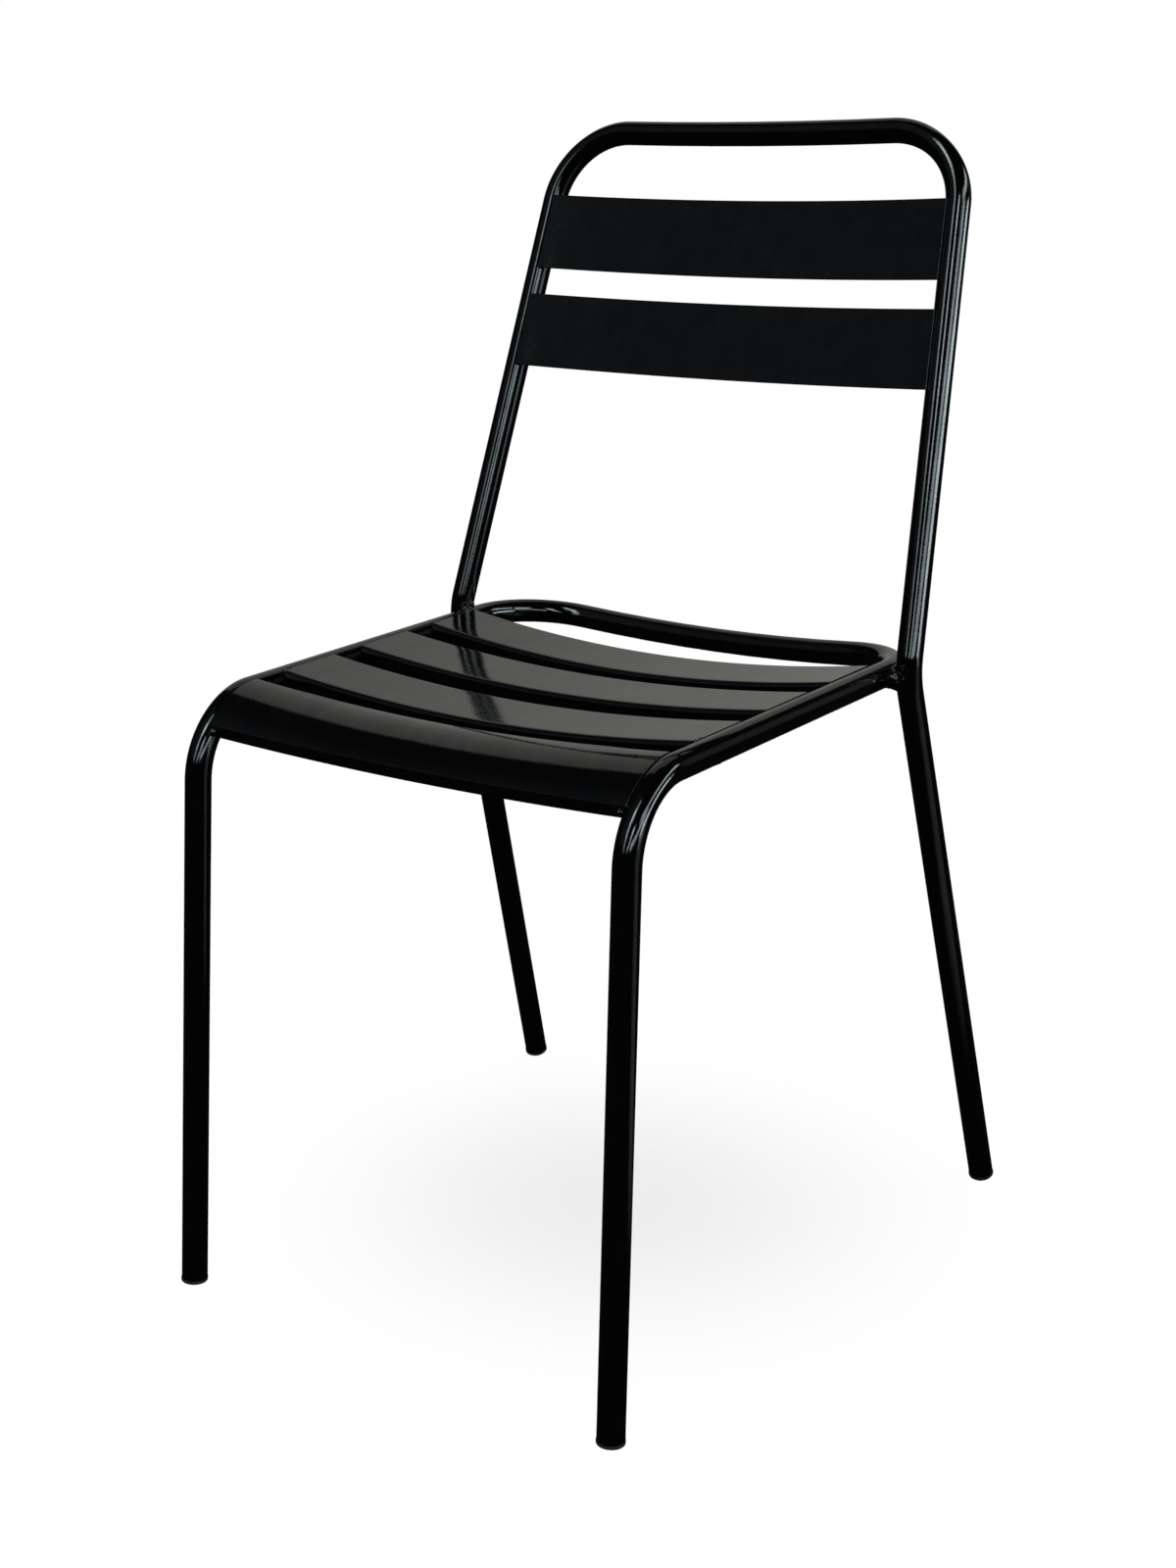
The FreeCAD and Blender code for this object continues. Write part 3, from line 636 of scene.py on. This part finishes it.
slat_pitch = (RAIL_LENGTH - SPACE_BEHIND_SLATS - SLAT_WIDTH - SECOND_SLAT_START) / 2
slats = {
    "seat_slat_front": front_slat("front_slat"),
    "seat_slat_second": seat_slat("second_slat", SECOND_SLAT_START, SEAT_DISH),
    "seat_slat_third": seat_slat("third_slat", SECOND_SLAT_START + slat_pitch, SEAT_DISH),
    "seat_slat_rear": seat_slat("rear_slat", SECOND_SLAT_START + 2 * slat_pitch, REAR_SLAT_DISH),
    "back_slat_lower": back_slat("lower_back_slat", LOWER_SLAT_START, LOWER_SLAT_WIDTH),
    "back_slat_upper": back_slat("upper_back_slat", UPPER_SLAT_START, UPPER_SLAT_WIDTH),
}


# Weld metal

def nearest_on(places, point):
    """The point of a tube's centreline that is nearest to this point, and how far off it is."""
    best = None
    for start, end in zip(places, places[1:]):
        run = end - start
        share = min(1.0, max(0.0, (point - start).dot(run) / run.length_squared))
        here = start + run * share
        if best is None or (point - here).length < best[1]:
            best = (here, (point - here).length)
    return best


def roughness_at(point, size, seed):
    """Smooth noise between -1 and 1, in lumps of this size."""
    return noise.noise(point / size + Vector((seed, 0, 0)))


def reach_to_tube(start, direction, places):
    """Distance until the weld has sunk a little into the tube, or is level with its middle."""
    distance = 0.0
    before = None
    while distance < 1.5 * TUBE_RADIUS:
        off = nearest_on(places, start + direction * distance)[1]
        if off < TUBE_RADIUS - COLLAR_SINK or (before is not None and off > before):
            break
        before = off
        distance += COLLAR_SINK_STEP
    return distance


def corner_weld(name, node, seed, spatter=()):
    """A rough weld round the touching point of a rear corner and the hoop's bend.
    It is hollowed between the tubes, and its spatter is given from its centre."""
    low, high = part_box(node)
    centre = (low + high) / 2 / MM
    sides = []
    for stations in (front_stations, rear_stations):
        places = [place + SHIFT for place, outward, strength in stations]
        sides.append([place for place in places if (place - centre).length < 6 * TUBE_RADIUS])
    axis = (nearest_on(sides[1], centre)[0] - nearest_on(sides[0], centre)[0]).normalized()
    upward = (Vector((0, 0, 1)) - axis * axis.z).normalized()
    sideways = axis.cross(upward)
    sagging = (COLLAR_SAG - axis * COLLAR_SAG.dot(axis)).normalized()
    points = []
    for k in range(COLLAR_SIDES):
        turn = 2 * math.pi * k / COLLAR_SIDES
        direction = upward * math.cos(turn) + sideways * math.sin(turn)
        low = max(0.0, direction.dot(sagging))
        uneven = COLLAR_LUMPS * roughness_at(direction * COLLAR_RADIUS, COLLAR_LUMP_SIZE, seed)
        by_rail = COLLAR_RADIUS + (COLLAR_UNDERSIDE - COLLAR_RADIUS) * low + uneven * (1 - low)
        by_hoop = COLLAR_RADIUS + COLLAR_DROOP * low ** 2 + uneven
        to_rail = reach_to_tube(centre + direction * by_rail, -axis, sides[0])
        to_hoop = reach_to_tube(centre + direction * by_hoop, axis, sides[1])
        waist = COLLAR_WAIST * (to_rail + to_hoop) * (1 - COLLAR_UNDERSIDE_FILL * low ** 2)
        ripple = COLLAR_RIPPLE * math.sin(math.pi * turn * COLLAR_RADIUS / RIPPLE_LENGTH)
        for step in range(COLLAR_STEPS + 1):
            share = step / COLLAR_STEPS
            hollow = math.sin(math.pi * share) ** COLLAR_HOLLOWNESS
            radius = by_rail + (by_hoop - by_rail) * share
            place = centre + axis * (share * (to_rail + to_hoop) - to_rail)
            grain = COLLAR_GRAIN * roughness_at(place + direction * radius, COLLAR_GRAIN_SIZE, seed)
            points.append(place + direction * (radius - waist * hollow + (ripple + grain) * hollow))
    faces = []
    width = COLLAR_STEPS + 1
    starts = [(k * width, (k + 1) % COLLAR_SIDES * width) for k in range(COLLAR_SIDES)]
    for here, there in starts:
        faces += [(here + j, here + j + 1, there + j + 1, there + j) for j in range(COLLAR_STEPS)]
    for end, reach in ((0, -1), (COLLAR_STEPS, 1)):
        points.append(centre + axis * reach)
        faces += [(here + end, there + end, len(points) - 1) for here, there in starts]
    add_beads(points, faces, [(centre + offset, *bead) for offset, *bead in spatter])
    return write_mesh(name, points, faces)


def bead_rings(centre, axis, half_length, radius, seed):
    """Points and faces of a lumpy bead of weld metal with rounded ends, rippled along its run."""
    side = axis.orthogonal().normalized()
    across = axis.cross(side)
    steps = max(8, round(4 * half_length))
    points = [centre - axis * half_length]
    for step in range(1, steps):
        along = -math.cos(math.pi * step / steps) * half_length
        into_end = max(0.0, abs(along) - max(0.0, half_length - radius)) / min(radius, half_length)
        here = radius * math.sqrt(max(0.0, 1 - into_end ** 2))
        here *= 1 + BEAD_RIPPLE * math.cos(2 * math.pi * along / RIPPLE_LENGTH)
        for k in range(BEAD_SIDES):
            turn = 2 * math.pi * k / BEAD_SIDES
            direction = side * math.cos(turn) + across * math.sin(turn)
            place = centre + axis * along + direction * here
            points.append(place + direction * BEAD_GRAIN * roughness_at(place, BEAD_GRAIN_SIZE, seed))
    points.append(centre + axis * half_length)
    faces = []
    for k in range(BEAD_SIDES):
        after = (k + 1) % BEAD_SIDES
        faces.append((0, 1 + k, 1 + after))
        faces.append((len(points) - 1, len(points) - 2 - k, len(points) - 2 - after))
    for step in range(steps - 2):
        faces += loop_quads(1 + step * BEAD_SIDES, 1 + (step + 1) * BEAD_SIDES, BEAD_SIDES)
    return points, faces


def add_beads(points, faces, runs):
    """Adds beads to a mesh, each given by its centre, axis, half length and radius."""
    for number, run in enumerate(runs):
        made, around = bead_rings(*run, number * BEAD_SEED_STEP)
        faces += [tuple(len(points) + k for k in face) for face in around]
        points += made


def solids_of(node):
    """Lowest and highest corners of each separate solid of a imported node, in millimetres."""
    made = bmesh.new()
    made.from_mesh(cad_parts[node].data)
    bmesh.ops.remove_doubles(made, verts=made.verts, dist=1e-6)
    left = set(made.verts)
    boxes = []
    while left:
        group, edge = set(), [left.pop()]
        while edge:
            vertex = edge.pop()
            group.add(vertex)
            near = {other.other_vert(vertex) for other in vertex.link_edges} & left
            left -= near
            edge += near
        spans = [[vertex.co[k] / MM for vertex in group] for k in range(3)]
        boxes.append((Vector(map(min, spans)), Vector(map(max, spans))))
    made.free()
    return sorted(boxes, key=lambda box: tuple(box[0]))


def node_beads(name, node, axis, slat=None, outward=0.0, extra=()):
    """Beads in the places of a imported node's solids, along an axis given for the chair's right side.
    They may be tucked under a slat and moved outward, to the tube, and other beads may follow them."""
    runs = []
    for low, high in solids_of(node):
        centre, size = (low + high) / 2, high - low
        moved = Vector((math.copysign(outward, centre.x), 0, 0))
        if slat:
            slat_low, slat_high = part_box(slat)
            behind = (slat_low.y + slat_high.y) / 2 / MM - centre.y
            moved += Vector((0, math.copysign(TUCK_UNDER, behind), -TUCK_DOWN))
        centre += moved
        along = axis if centre.x > 0 else mirrored(axis)
        half_length = max(size.y, size.z) / 2
        runs.append((centre, along, half_length, min(sorted(size)[1] / 2, TACK_RADIUS)))
    points, faces = [], []
    add_beads(points, faces, runs + list(extra))
    return write_mesh(name, points, faces)


def beside_rail(along, inward, up):
    """Point beside the right side rail's centreline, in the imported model's frame."""
    return from_seat(Vector((rail_half_span(along) - inward, along, up)))


rail_axis = (REAR_CORNER - KNEE).normalized()
upright_axis = UPRIGHT_RUN.normalized()
underside_axis = (beside_rail(105.0, -0.8, -9.2) - beside_rail(85.0, -0.8, -8.2)).normalized()

# Extra beads, each a centre, an axis, a half length and a radius:
# two of spatter on top of each rail, and on the left corner weld four more, from its centre.
top_spatter = [
    (beside_rail(85.8, 6.0, 8.2), rail_axis, 1.6, 1.1),
    (beside_rail(92.0, 5.6, 8.2), rail_axis, 2.2, 1.2),
]
underside_run = [(beside_rail(98.0, -0.8, -8.9), underside_axis, 8.0, 1.3)]
rail_beads = []
for right_side in (top_spatter, underside_run):
    rail_beads += right_side
    rail_beads += [(mirrored(centre), mirrored(axis), *size) for centre, axis, *size in right_side]
corner_spatter = [
    (Vector((1.6, -2.6, 9.0)), Vector((0, 1, 0)), 1.5, 1.2),
    (Vector((2.6, -0.2, 8.9)), Vector((1, 0, 0)), 1.3, 1.0),
    (Vector((-0.6, -3.9, 8.2)), Vector((0, 0.4, 0.9)).normalized(), 1.6, 1.0),
    (Vector((0.4, 0.6, 9.7)), Vector((0.5, 0.8, 0.2)).normalized(), 1.4, 1.1),
]

welds = {
    "corner_weld_right": corner_weld("right_corner_weld", "corner_weld_right", 1.0),
    "corner_weld_left": corner_weld("left_corner_weld", "corner_weld_left", 5.0, corner_spatter),
    "tack_welds_front_lip": node_beads(
        "lip_tacks", "tack_welds_front_lip", rail_axis, outward=LIP_TACK_OUTWARD
    ),
}
for which, extra in (("front", ()), ("second", rail_beads), ("third", ()), ("rear", ())):
    node = "tack_welds_" + which + "_slat"
    slat = "seat_slat_" + which
    welds[node] = node_beads(which + "_slat_tacks", node, rail_axis, slat, TUCK_OUTWARD, extra)
for which in ("lower", "upper"):
    node = "weld_seams_" + which + "_back_slat"
    welds[node] = node_beads(which + "_back_seams", node, upright_axis)


# Materials

DUST = (0.22, 0.21, 0.19)
PLUG_DARK = (0.012, 0.012, 0.013)
PLUG_PALE = (0.024, 0.024, 0.025)
SCUFFS = (0.16, 0.155, 0.15)
REFRACTIVE_INDEX = 1.5


class Nodes:
    """A node tree under construction."""

    def __init__(self, tree):
        self.tree = tree
        tree.nodes.clear()

    def add(self, kind, inputs=None, **settings):
        """A node, with its settings and with its inputs given as values or as other nodes' outputs."""
        node = self.tree.nodes.new(kind)
        for key, value in settings.items():
            setattr(node, key, value)
        for key, value in (inputs or {}).items():
            if isinstance(value, bpy.types.NodeSocket):
                self.tree.links.new(value, node.inputs[key])
            else:
                node.inputs[key].default_value = value
        return node

    def maths(self, operation, first, second=0.0, third=0.0):
        inputs = {0: first, 1: second, 2: third}
        return self.add("ShaderNodeMath", inputs, operation=operation).outputs[0]

    def vector(self, operation, inputs, output=0):
        return self.add("ShaderNodeVectorMath", inputs, operation=operation).outputs[output]

    def mix(self, share, first, second):
        """A shader between two shaders."""
        return self.add("ShaderNodeMixShader", {0: share, 1: first, 2: second}).outputs[0]

    def ramp(self, value, low, high, to_low=0.0, to_high=1.0):
        """A smooth step of the value from low to high."""
        inputs = {"Value": value, "From Min": low, "From Max": high, "To Min": to_low, "To Max": to_high}
        return self.add("ShaderNodeMapRange", inputs, interpolation_type="SMOOTHSTEP").outputs[0]

    def noise(self, where, scale, detail=2.0, roughness=0.5):
        inputs = {"Vector": where, "Scale": scale, "Detail": detail, "Roughness": roughness}
        return self.add("ShaderNodeTexNoise", inputs).outputs["Fac"]

    def bump(self, height, strength, distance, below=None):
        """A normal bumped by this height, on top of another bumped normal."""
        inputs = {"Height": height, "Strength": strength, "Distance": distance}
        if below is not None:
            inputs["Normal"] = below
        return self.add("ShaderNodeBump", inputs).outputs[0]

    def blend(self, share, first, second):
        """A colour between two colours, each a node's output or a plain colour."""
        node = self.tree.nodes.new("ShaderNodeMix")
        node.data_type = "RGBA"
        self.tree.links.new(share, node.inputs[0])
        for socket, value in ((node.inputs[6], first), (node.inputs[7], second)):
            if isinstance(value, bpy.types.NodeSocket):
                self.tree.links.new(value, socket)
            else:
                socket.default_value = (*value, 1.0)
        return node.outputs[2]


def gloss_paint(name, tint, smooth, rough, peel, waviness):
    """Black gloss paint: orange peel, soft waves of the metal under it, faint dust and wiped streaks.
    Its roughness goes from smooth to rough in worn patches."""
    material = bpy.data.materials.new(name)
    material.use_nodes = True
    nodes = Nodes(material.node_tree)
    where = nodes.add("ShaderNodeTexCoord").outputs["Object"]
    mottle = nodes.noise(where, 18.0, 3.0)
    dust = nodes.ramp(nodes.noise(where, 900.0, 2.0, 0.7), 0.66, 0.78)
    patches = nodes.ramp(nodes.noise(where, 9.0, 4.0, 0.6), 0.45, 0.75)
    colour = nodes.blend(mottle, [0.75 * c for c in tint], [1.3 * c for c in tint])
    settled = nodes.maths("MULTIPLY", dust, nodes.maths("MULTIPLY_ADD", patches, 0.016, 0.004))
    colour = nodes.blend(settled, colour, DUST)
    wear = nodes.maths("MULTIPLY_ADD", patches, rough - smooth, smooth)
    gloss = nodes.maths("MULTIPLY_ADD", dust, 0.05, wear)
    fine = nodes.noise(where, 520.0, 2.0)
    broad = nodes.noise(where, 26.0, 1.0)
    front_to_back = {"Vector": where, "Scale": (70.0, 9.0, 70.0)}
    streaks = nodes.noise(nodes.add("ShaderNodeMapping", front_to_back).outputs[0], 1.0, 3.0, 0.6)
    wiped = nodes.ramp(streaks, 0.3, 0.7, 0.42, 0.56)
    orange_peel = nodes.bump(fine, peel, 0.0004)
    shader = nodes.add("ShaderNodeBsdfPrincipled", {
        "Base Color": colour, "Roughness": gloss, "IOR": REFRACTIVE_INDEX, "Specular IOR Level": wiped,
        "Normal": nodes.bump(broad, waviness, 0.002, orange_peel),
    })
    nodes.add("ShaderNodeOutputMaterial", {"Surface": shader.outputs[0]})
    return material


def plug_plastic(name):
    """Black moulded plastic, matt, with a fine grain and pale scuffs near the floor."""
    material = bpy.data.materials.new(name)
    material.use_nodes = True
    nodes = Nodes(material.node_tree)
    where = nodes.add("ShaderNodeTexCoord").outputs["Object"]
    height = nodes.add("ShaderNodeSeparateXYZ", {0: where}).outputs["Z"]
    near_floor = nodes.ramp(height, 0.0022, 0.0002)
    scratches = nodes.ramp(nodes.noise(where, 1400.0, 4.0, 0.7), 0.5, 0.7)
    scuffs = nodes.maths("MULTIPLY", near_floor, scratches)
    colour = nodes.blend(nodes.noise(where, 300.0), PLUG_DARK, PLUG_PALE)
    colour = nodes.blend(scuffs, colour, SCUFFS)
    gloss = nodes.maths("MULTIPLY_ADD", scratches, 0.2, 0.42)
    grain = nodes.noise(where, 2500.0, 2.0)
    shader = nodes.add("ShaderNodeBsdfPrincipled", {
        "Base Color": colour, "Roughness": gloss, "IOR": REFRACTIVE_INDEX,
        "Normal": nodes.bump(grain, 0.25, 0.0002),
    })
    nodes.add("ShaderNodeOutputMaterial", {"Surface": shader.outputs[0]})
    return material


tube_paint = gloss_paint(
    "tube_paint", (0.0009, 0.0010, 0.0011), smooth=0.06, rough=0.10, peel=0.08, waviness=0.02
)
slat_paint = gloss_paint(
    "slat_paint", (0.0011, 0.0012, 0.0013), smooth=0.07, rough=0.12, peel=0.10, waviness=0.10
)
weld_paint = gloss_paint(
    "weld_paint", (0.0015, 0.0015, 0.0016), smooth=0.08, rough=0.20, peel=0.30, waviness=0.20
)
foot_plastic = plug_plastic("foot_plastic")


def dress(piece, material, slot, *nodes):
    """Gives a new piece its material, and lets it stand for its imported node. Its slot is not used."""
    piece.data.materials.append(material)
    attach(piece, "root")
    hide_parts(*nodes)


dress(front_tube, tube_paint, "tube_paint", "front_frame_tube")
dress(hoop_tube, tube_paint, "tube_paint", "rear_hoop_tube")
for node, piece in slats.items():
    dress(piece, slat_paint, "slat_paint", node)
for node, piece in welds.items():
    dress(piece, weld_paint, "weld_paint", node)
for node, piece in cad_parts.items():
    if node.startswith("foot_plug"):
        piece.data.materials.clear()
        piece.data.materials.append(foot_plastic)


# Studio, in degrees: azimuth 0 is the chair's front and 90 its right side, as seen from the front.
# A span is from, to, and the softness of each end.

STUDIO_DARK = (0.008, 0.009, 0.010)
GLOWS = [
    # light, span of azimuth, span of elevation
    ((0.098, 0.114, 0.132), (-62, 0, 60, 20), (16, 67, 12, 10)),
    ((0.13, 0.13, 0.12), (142, 158, 7, 7), (3, 27, 12, 8)),
]
BACKDROP = (0.392, 0.405, 0.372)
BACKDROP_ACROSS = (181.0, 242.0, 5.0, 6.0)
BACKDROP_UP = (-6, 66, 22, 6)
BACKDROP_SHADE = (4.0, 46.0, 0.92, 1.42)
WINDOWS = [
    # azimuth from, to and softness, elevation from and to, softness of the foot and the top,
    # lean in azimuth and rise in elevation per degree of the other, brightness
    (-18, -7, 5, 15, 57, 8, 6, 0.0, 0.0, 2.8),
    (-19, -8, 5, 27, 57, 8, 6, 0.0, 0.0, 3.2),
    (-19, -6, 6, 41, 58, 7, 6, 0.0, 0.0, 3.0),
    (-10, 3, 5, 47, 68, 8, 5, 0.0, 0.0, 6.0),
    (11, 22, 5, 15, 37, 8, 4, 0.9, 0.0, 4.6),
    (22, 33, 5, 28, 37, 6, 4, 0.6, 0.0, 5.5),
    (36, 92, 5, 12, 20, 6, 4, 0.0, 0.1, 4.9),
    (89, 131, 6, 5.0, 13, 3, 5, 0.0, 0.0, 9.6),
    (92, 114, 6, -6, 5, 8, 4, 0.0, 0.0, 1.6),
    (66, 142, 6, 28, 37, 4, 4, 0.0, 0.0, 5.5),
    (70, 92, 5, 19, 26, 4, 3, 0.0, 0.1, 1.8),
]
WINDOW_LIGHT = (0.86, 1.0, 1.03)
FLOOR_HALF_SIZE = 6.0
FLOOR_MIDDLE = (0.0, 0.05, 0.0)
FLOOR_FADE = (0.02, 0.32, 0.27, 1.0)
PAPER_DARK = (0.95, 0.95, 0.95)
PAPER_PALE = (0.98, 0.98, 0.98)
GROUND = (0.012, 0.012, 0.013, 1)
# Painted light: a strip of the floor glows in this colour for all rays but the camera's.
STRIP_LIGHT = (0.26, 0.30, 0.33, 1)
STRIP_SLOPE = 0.2
STRIP_EDGE = (0.42, 0.1)
STRIP_START = (0.25, 0.6)
WHITE = (1, 1, 1, 1)


def build_world():
    """Even white light, and in the gloss a dim studio with a pale backdrop and soft window panes."""
    world = bpy.data.worlds.new("studio")
    world.use_nodes = True
    bpy.context.scene.world = world
    nodes = Nodes(world.node_tree)
    where = nodes.add("ShaderNodeTexCoord").outputs["Generated"]
    parts = nodes.add("ShaderNodeSeparateXYZ", {0: where}).outputs
    degrees = 180 / math.pi
    elevation = nodes.maths("MULTIPLY", nodes.maths("ARCSINE", parts["Z"]), degrees)
    forward = nodes.maths("MULTIPLY", parts["Y"], -1.0)
    azimuth = nodes.maths("MULTIPLY", nodes.maths("ARCTAN2", parts["X"], forward), degrees)

    def between(value, low, high, low_soft, high_soft):
        """1 within a span of the value and 0 outside it."""
        rising = nodes.ramp(value, low - low_soft / 2, low + low_soft / 2)
        falling = nodes.ramp(value, high + high_soft / 2, high - high_soft / 2)
        return nodes.maths("MULTIPLY", rising, falling)

    def patch(across, across_span, up, up_span):
        return nodes.maths("MULTIPLY", between(across, *across_span), between(up, *up_span))

    room = STUDIO_DARK
    for light, across_span, up_span in GLOWS:
        room = nodes.blend(patch(azimuth, across_span, elevation, up_span), room, light)
    round_back = nodes.maths("WRAP", azimuth, 360.0, 0.0)
    pale = patch(round_back, BACKDROP_ACROSS, elevation, BACKDROP_UP)
    pale = nodes.maths("MULTIPLY", pale, nodes.ramp(elevation, *BACKDROP_SHADE))
    room = nodes.blend(pale, room, BACKDROP)
    panes = None
    for left, right, side_soft, foot, top, foot_soft, top_soft, lean, rise, strength in WINDOWS:
        above = nodes.maths("SUBTRACT", elevation, foot)
        beside = nodes.maths("SUBTRACT", azimuth, left)
        across = nodes.maths("MULTIPLY_ADD", above, -lean, azimuth)
        up = nodes.maths("MULTIPLY_ADD", beside, -rise, elevation)
        pane = patch(across, (left, right, side_soft, side_soft), up, (foot, top, foot_soft, top_soft))
        pane = nodes.maths("MULTIPLY", pane, strength)
        panes = pane if panes is None else nodes.maths("ADD", panes, pane)
    through_panes = nodes.vector("SCALE", {0: WINDOW_LIGHT, "Scale": panes})
    total = nodes.vector("ADD", {0: room, 1: through_panes})
    in_gloss = nodes.add("ShaderNodeLightPath").outputs["Is Glossy Ray"]
    white = nodes.add("ShaderNodeBackground", {"Color": WHITE, "Strength": 1.0})
    studio = nodes.add("ShaderNodeBackground", {"Color": total, "Strength": 1.0})
    mixed = nodes.mix(in_gloss, white.outputs[0], studio.outputs[0])
    nodes.add("ShaderNodeOutputWorld", {"Surface": mixed})


def build_floor():
    """A pale floor that keeps a soft shadow and runs out into white. In the gloss it is a dark ground
    with a strip on the right that glows, painted light for the tubes to reflect."""
    size = FLOOR_HALF_SIZE
    mesh = bpy.data.meshes.new("floor")
    corners = [(-size, -size, 0), (size, -size, 0), (size, size, 0), (-size, size, 0)]
    mesh.from_pydata(corners, [], [(0, 1, 2, 3)])
    floor = bpy.data.objects.new("floor", mesh)
    bpy.context.scene.collection.objects.link(floor)
    material = bpy.data.materials.new("floor_paper")
    material.use_nodes = True
    nodes = Nodes(material.node_tree)
    where = nodes.add("ShaderNodeTexCoord").outputs["Object"]
    off_middle = nodes.vector("SUBTRACT", {0: where, 1: FLOOR_MIDDLE})
    distance = nodes.vector("LENGTH", {0: off_middle}, "Value")
    far = nodes.ramp(distance, *FLOOR_FADE)
    paper = nodes.blend(nodes.noise(where, 160.0, 3.0), PAPER_DARK, PAPER_PALE)
    matt = nodes.add("ShaderNodeBsdfDiffuse", {"Color": paper})
    white = nodes.add("ShaderNodeEmission", {"Color": WHITE, "Strength": 1.0})
    bright = nodes.mix(far, matt.outputs[0], white.outputs[0])
    # Painted light: a strip of the floor on the right glows, so the tubes show it in their reflections.
    parts = nodes.add("ShaderNodeSeparateXYZ", {0: where}).outputs
    slope = nodes.maths("DIVIDE", parts["Y"], parts["X"])
    off_strip = nodes.maths("ABSOLUTE", nodes.maths("SUBTRACT", slope, STRIP_SLOPE))
    outward = nodes.ramp(parts["X"], *STRIP_START)
    strip = nodes.maths("MULTIPLY", nodes.ramp(off_strip, *STRIP_EDGE), outward)
    ground = nodes.add("ShaderNodeBsdfDiffuse", {"Color": GROUND})
    lit = nodes.add("ShaderNodeEmission", {"Color": STRIP_LIGHT, "Strength": 1.0})
    dim = nodes.mix(strip, ground.outputs[0], lit.outputs[0])
    seen = nodes.add("ShaderNodeLightPath").outputs
    direct = nodes.maths("MAXIMUM", seen["Is Camera Ray"], seen["Is Transmission Ray"])
    mixed = nodes.mix(direct, dim, bright)
    nodes.add("ShaderNodeOutputMaterial", {"Surface": mixed})
    mesh.materials.append(material)


def build_camera():
    """The photograph's view, as fitted to the tubes' outlines. Angles are in radians."""
    place = Vector((0.87599, -1.31794, 0.80784))
    yaw, pitch, roll = 0.6234, 0.2141, -0.0034
    level = math.cos(pitch)
    forward = Vector((-math.sin(yaw) * level, math.cos(yaw) * level, -math.sin(pitch)))
    right = forward.cross(Vector((0, 0, 1))).normalized()
    up = right.cross(forward)
    turned_right = right * math.cos(roll) + up * math.sin(roll)
    turned_up = up * math.cos(roll) - right * math.sin(roll)
    data = bpy.data.cameras.new("camera")
    data.lens = 50.61
    data.sensor_width = 36.0
    data.shift_x = 0.05
    data.shift_y = -0.09375
    camera = bpy.data.objects.new("camera", data)
    basis = Matrix((turned_right, turned_up, -forward)).transposed()
    camera.matrix_world = Matrix.Translation(place) @ basis.to_4x4()
    bpy.context.scene.collection.objects.link(camera)
    bpy.context.scene.camera = camera


build_world()
build_floor()
build_camera()
bpy.context.scene.view_settings.view_transform = "Standard"
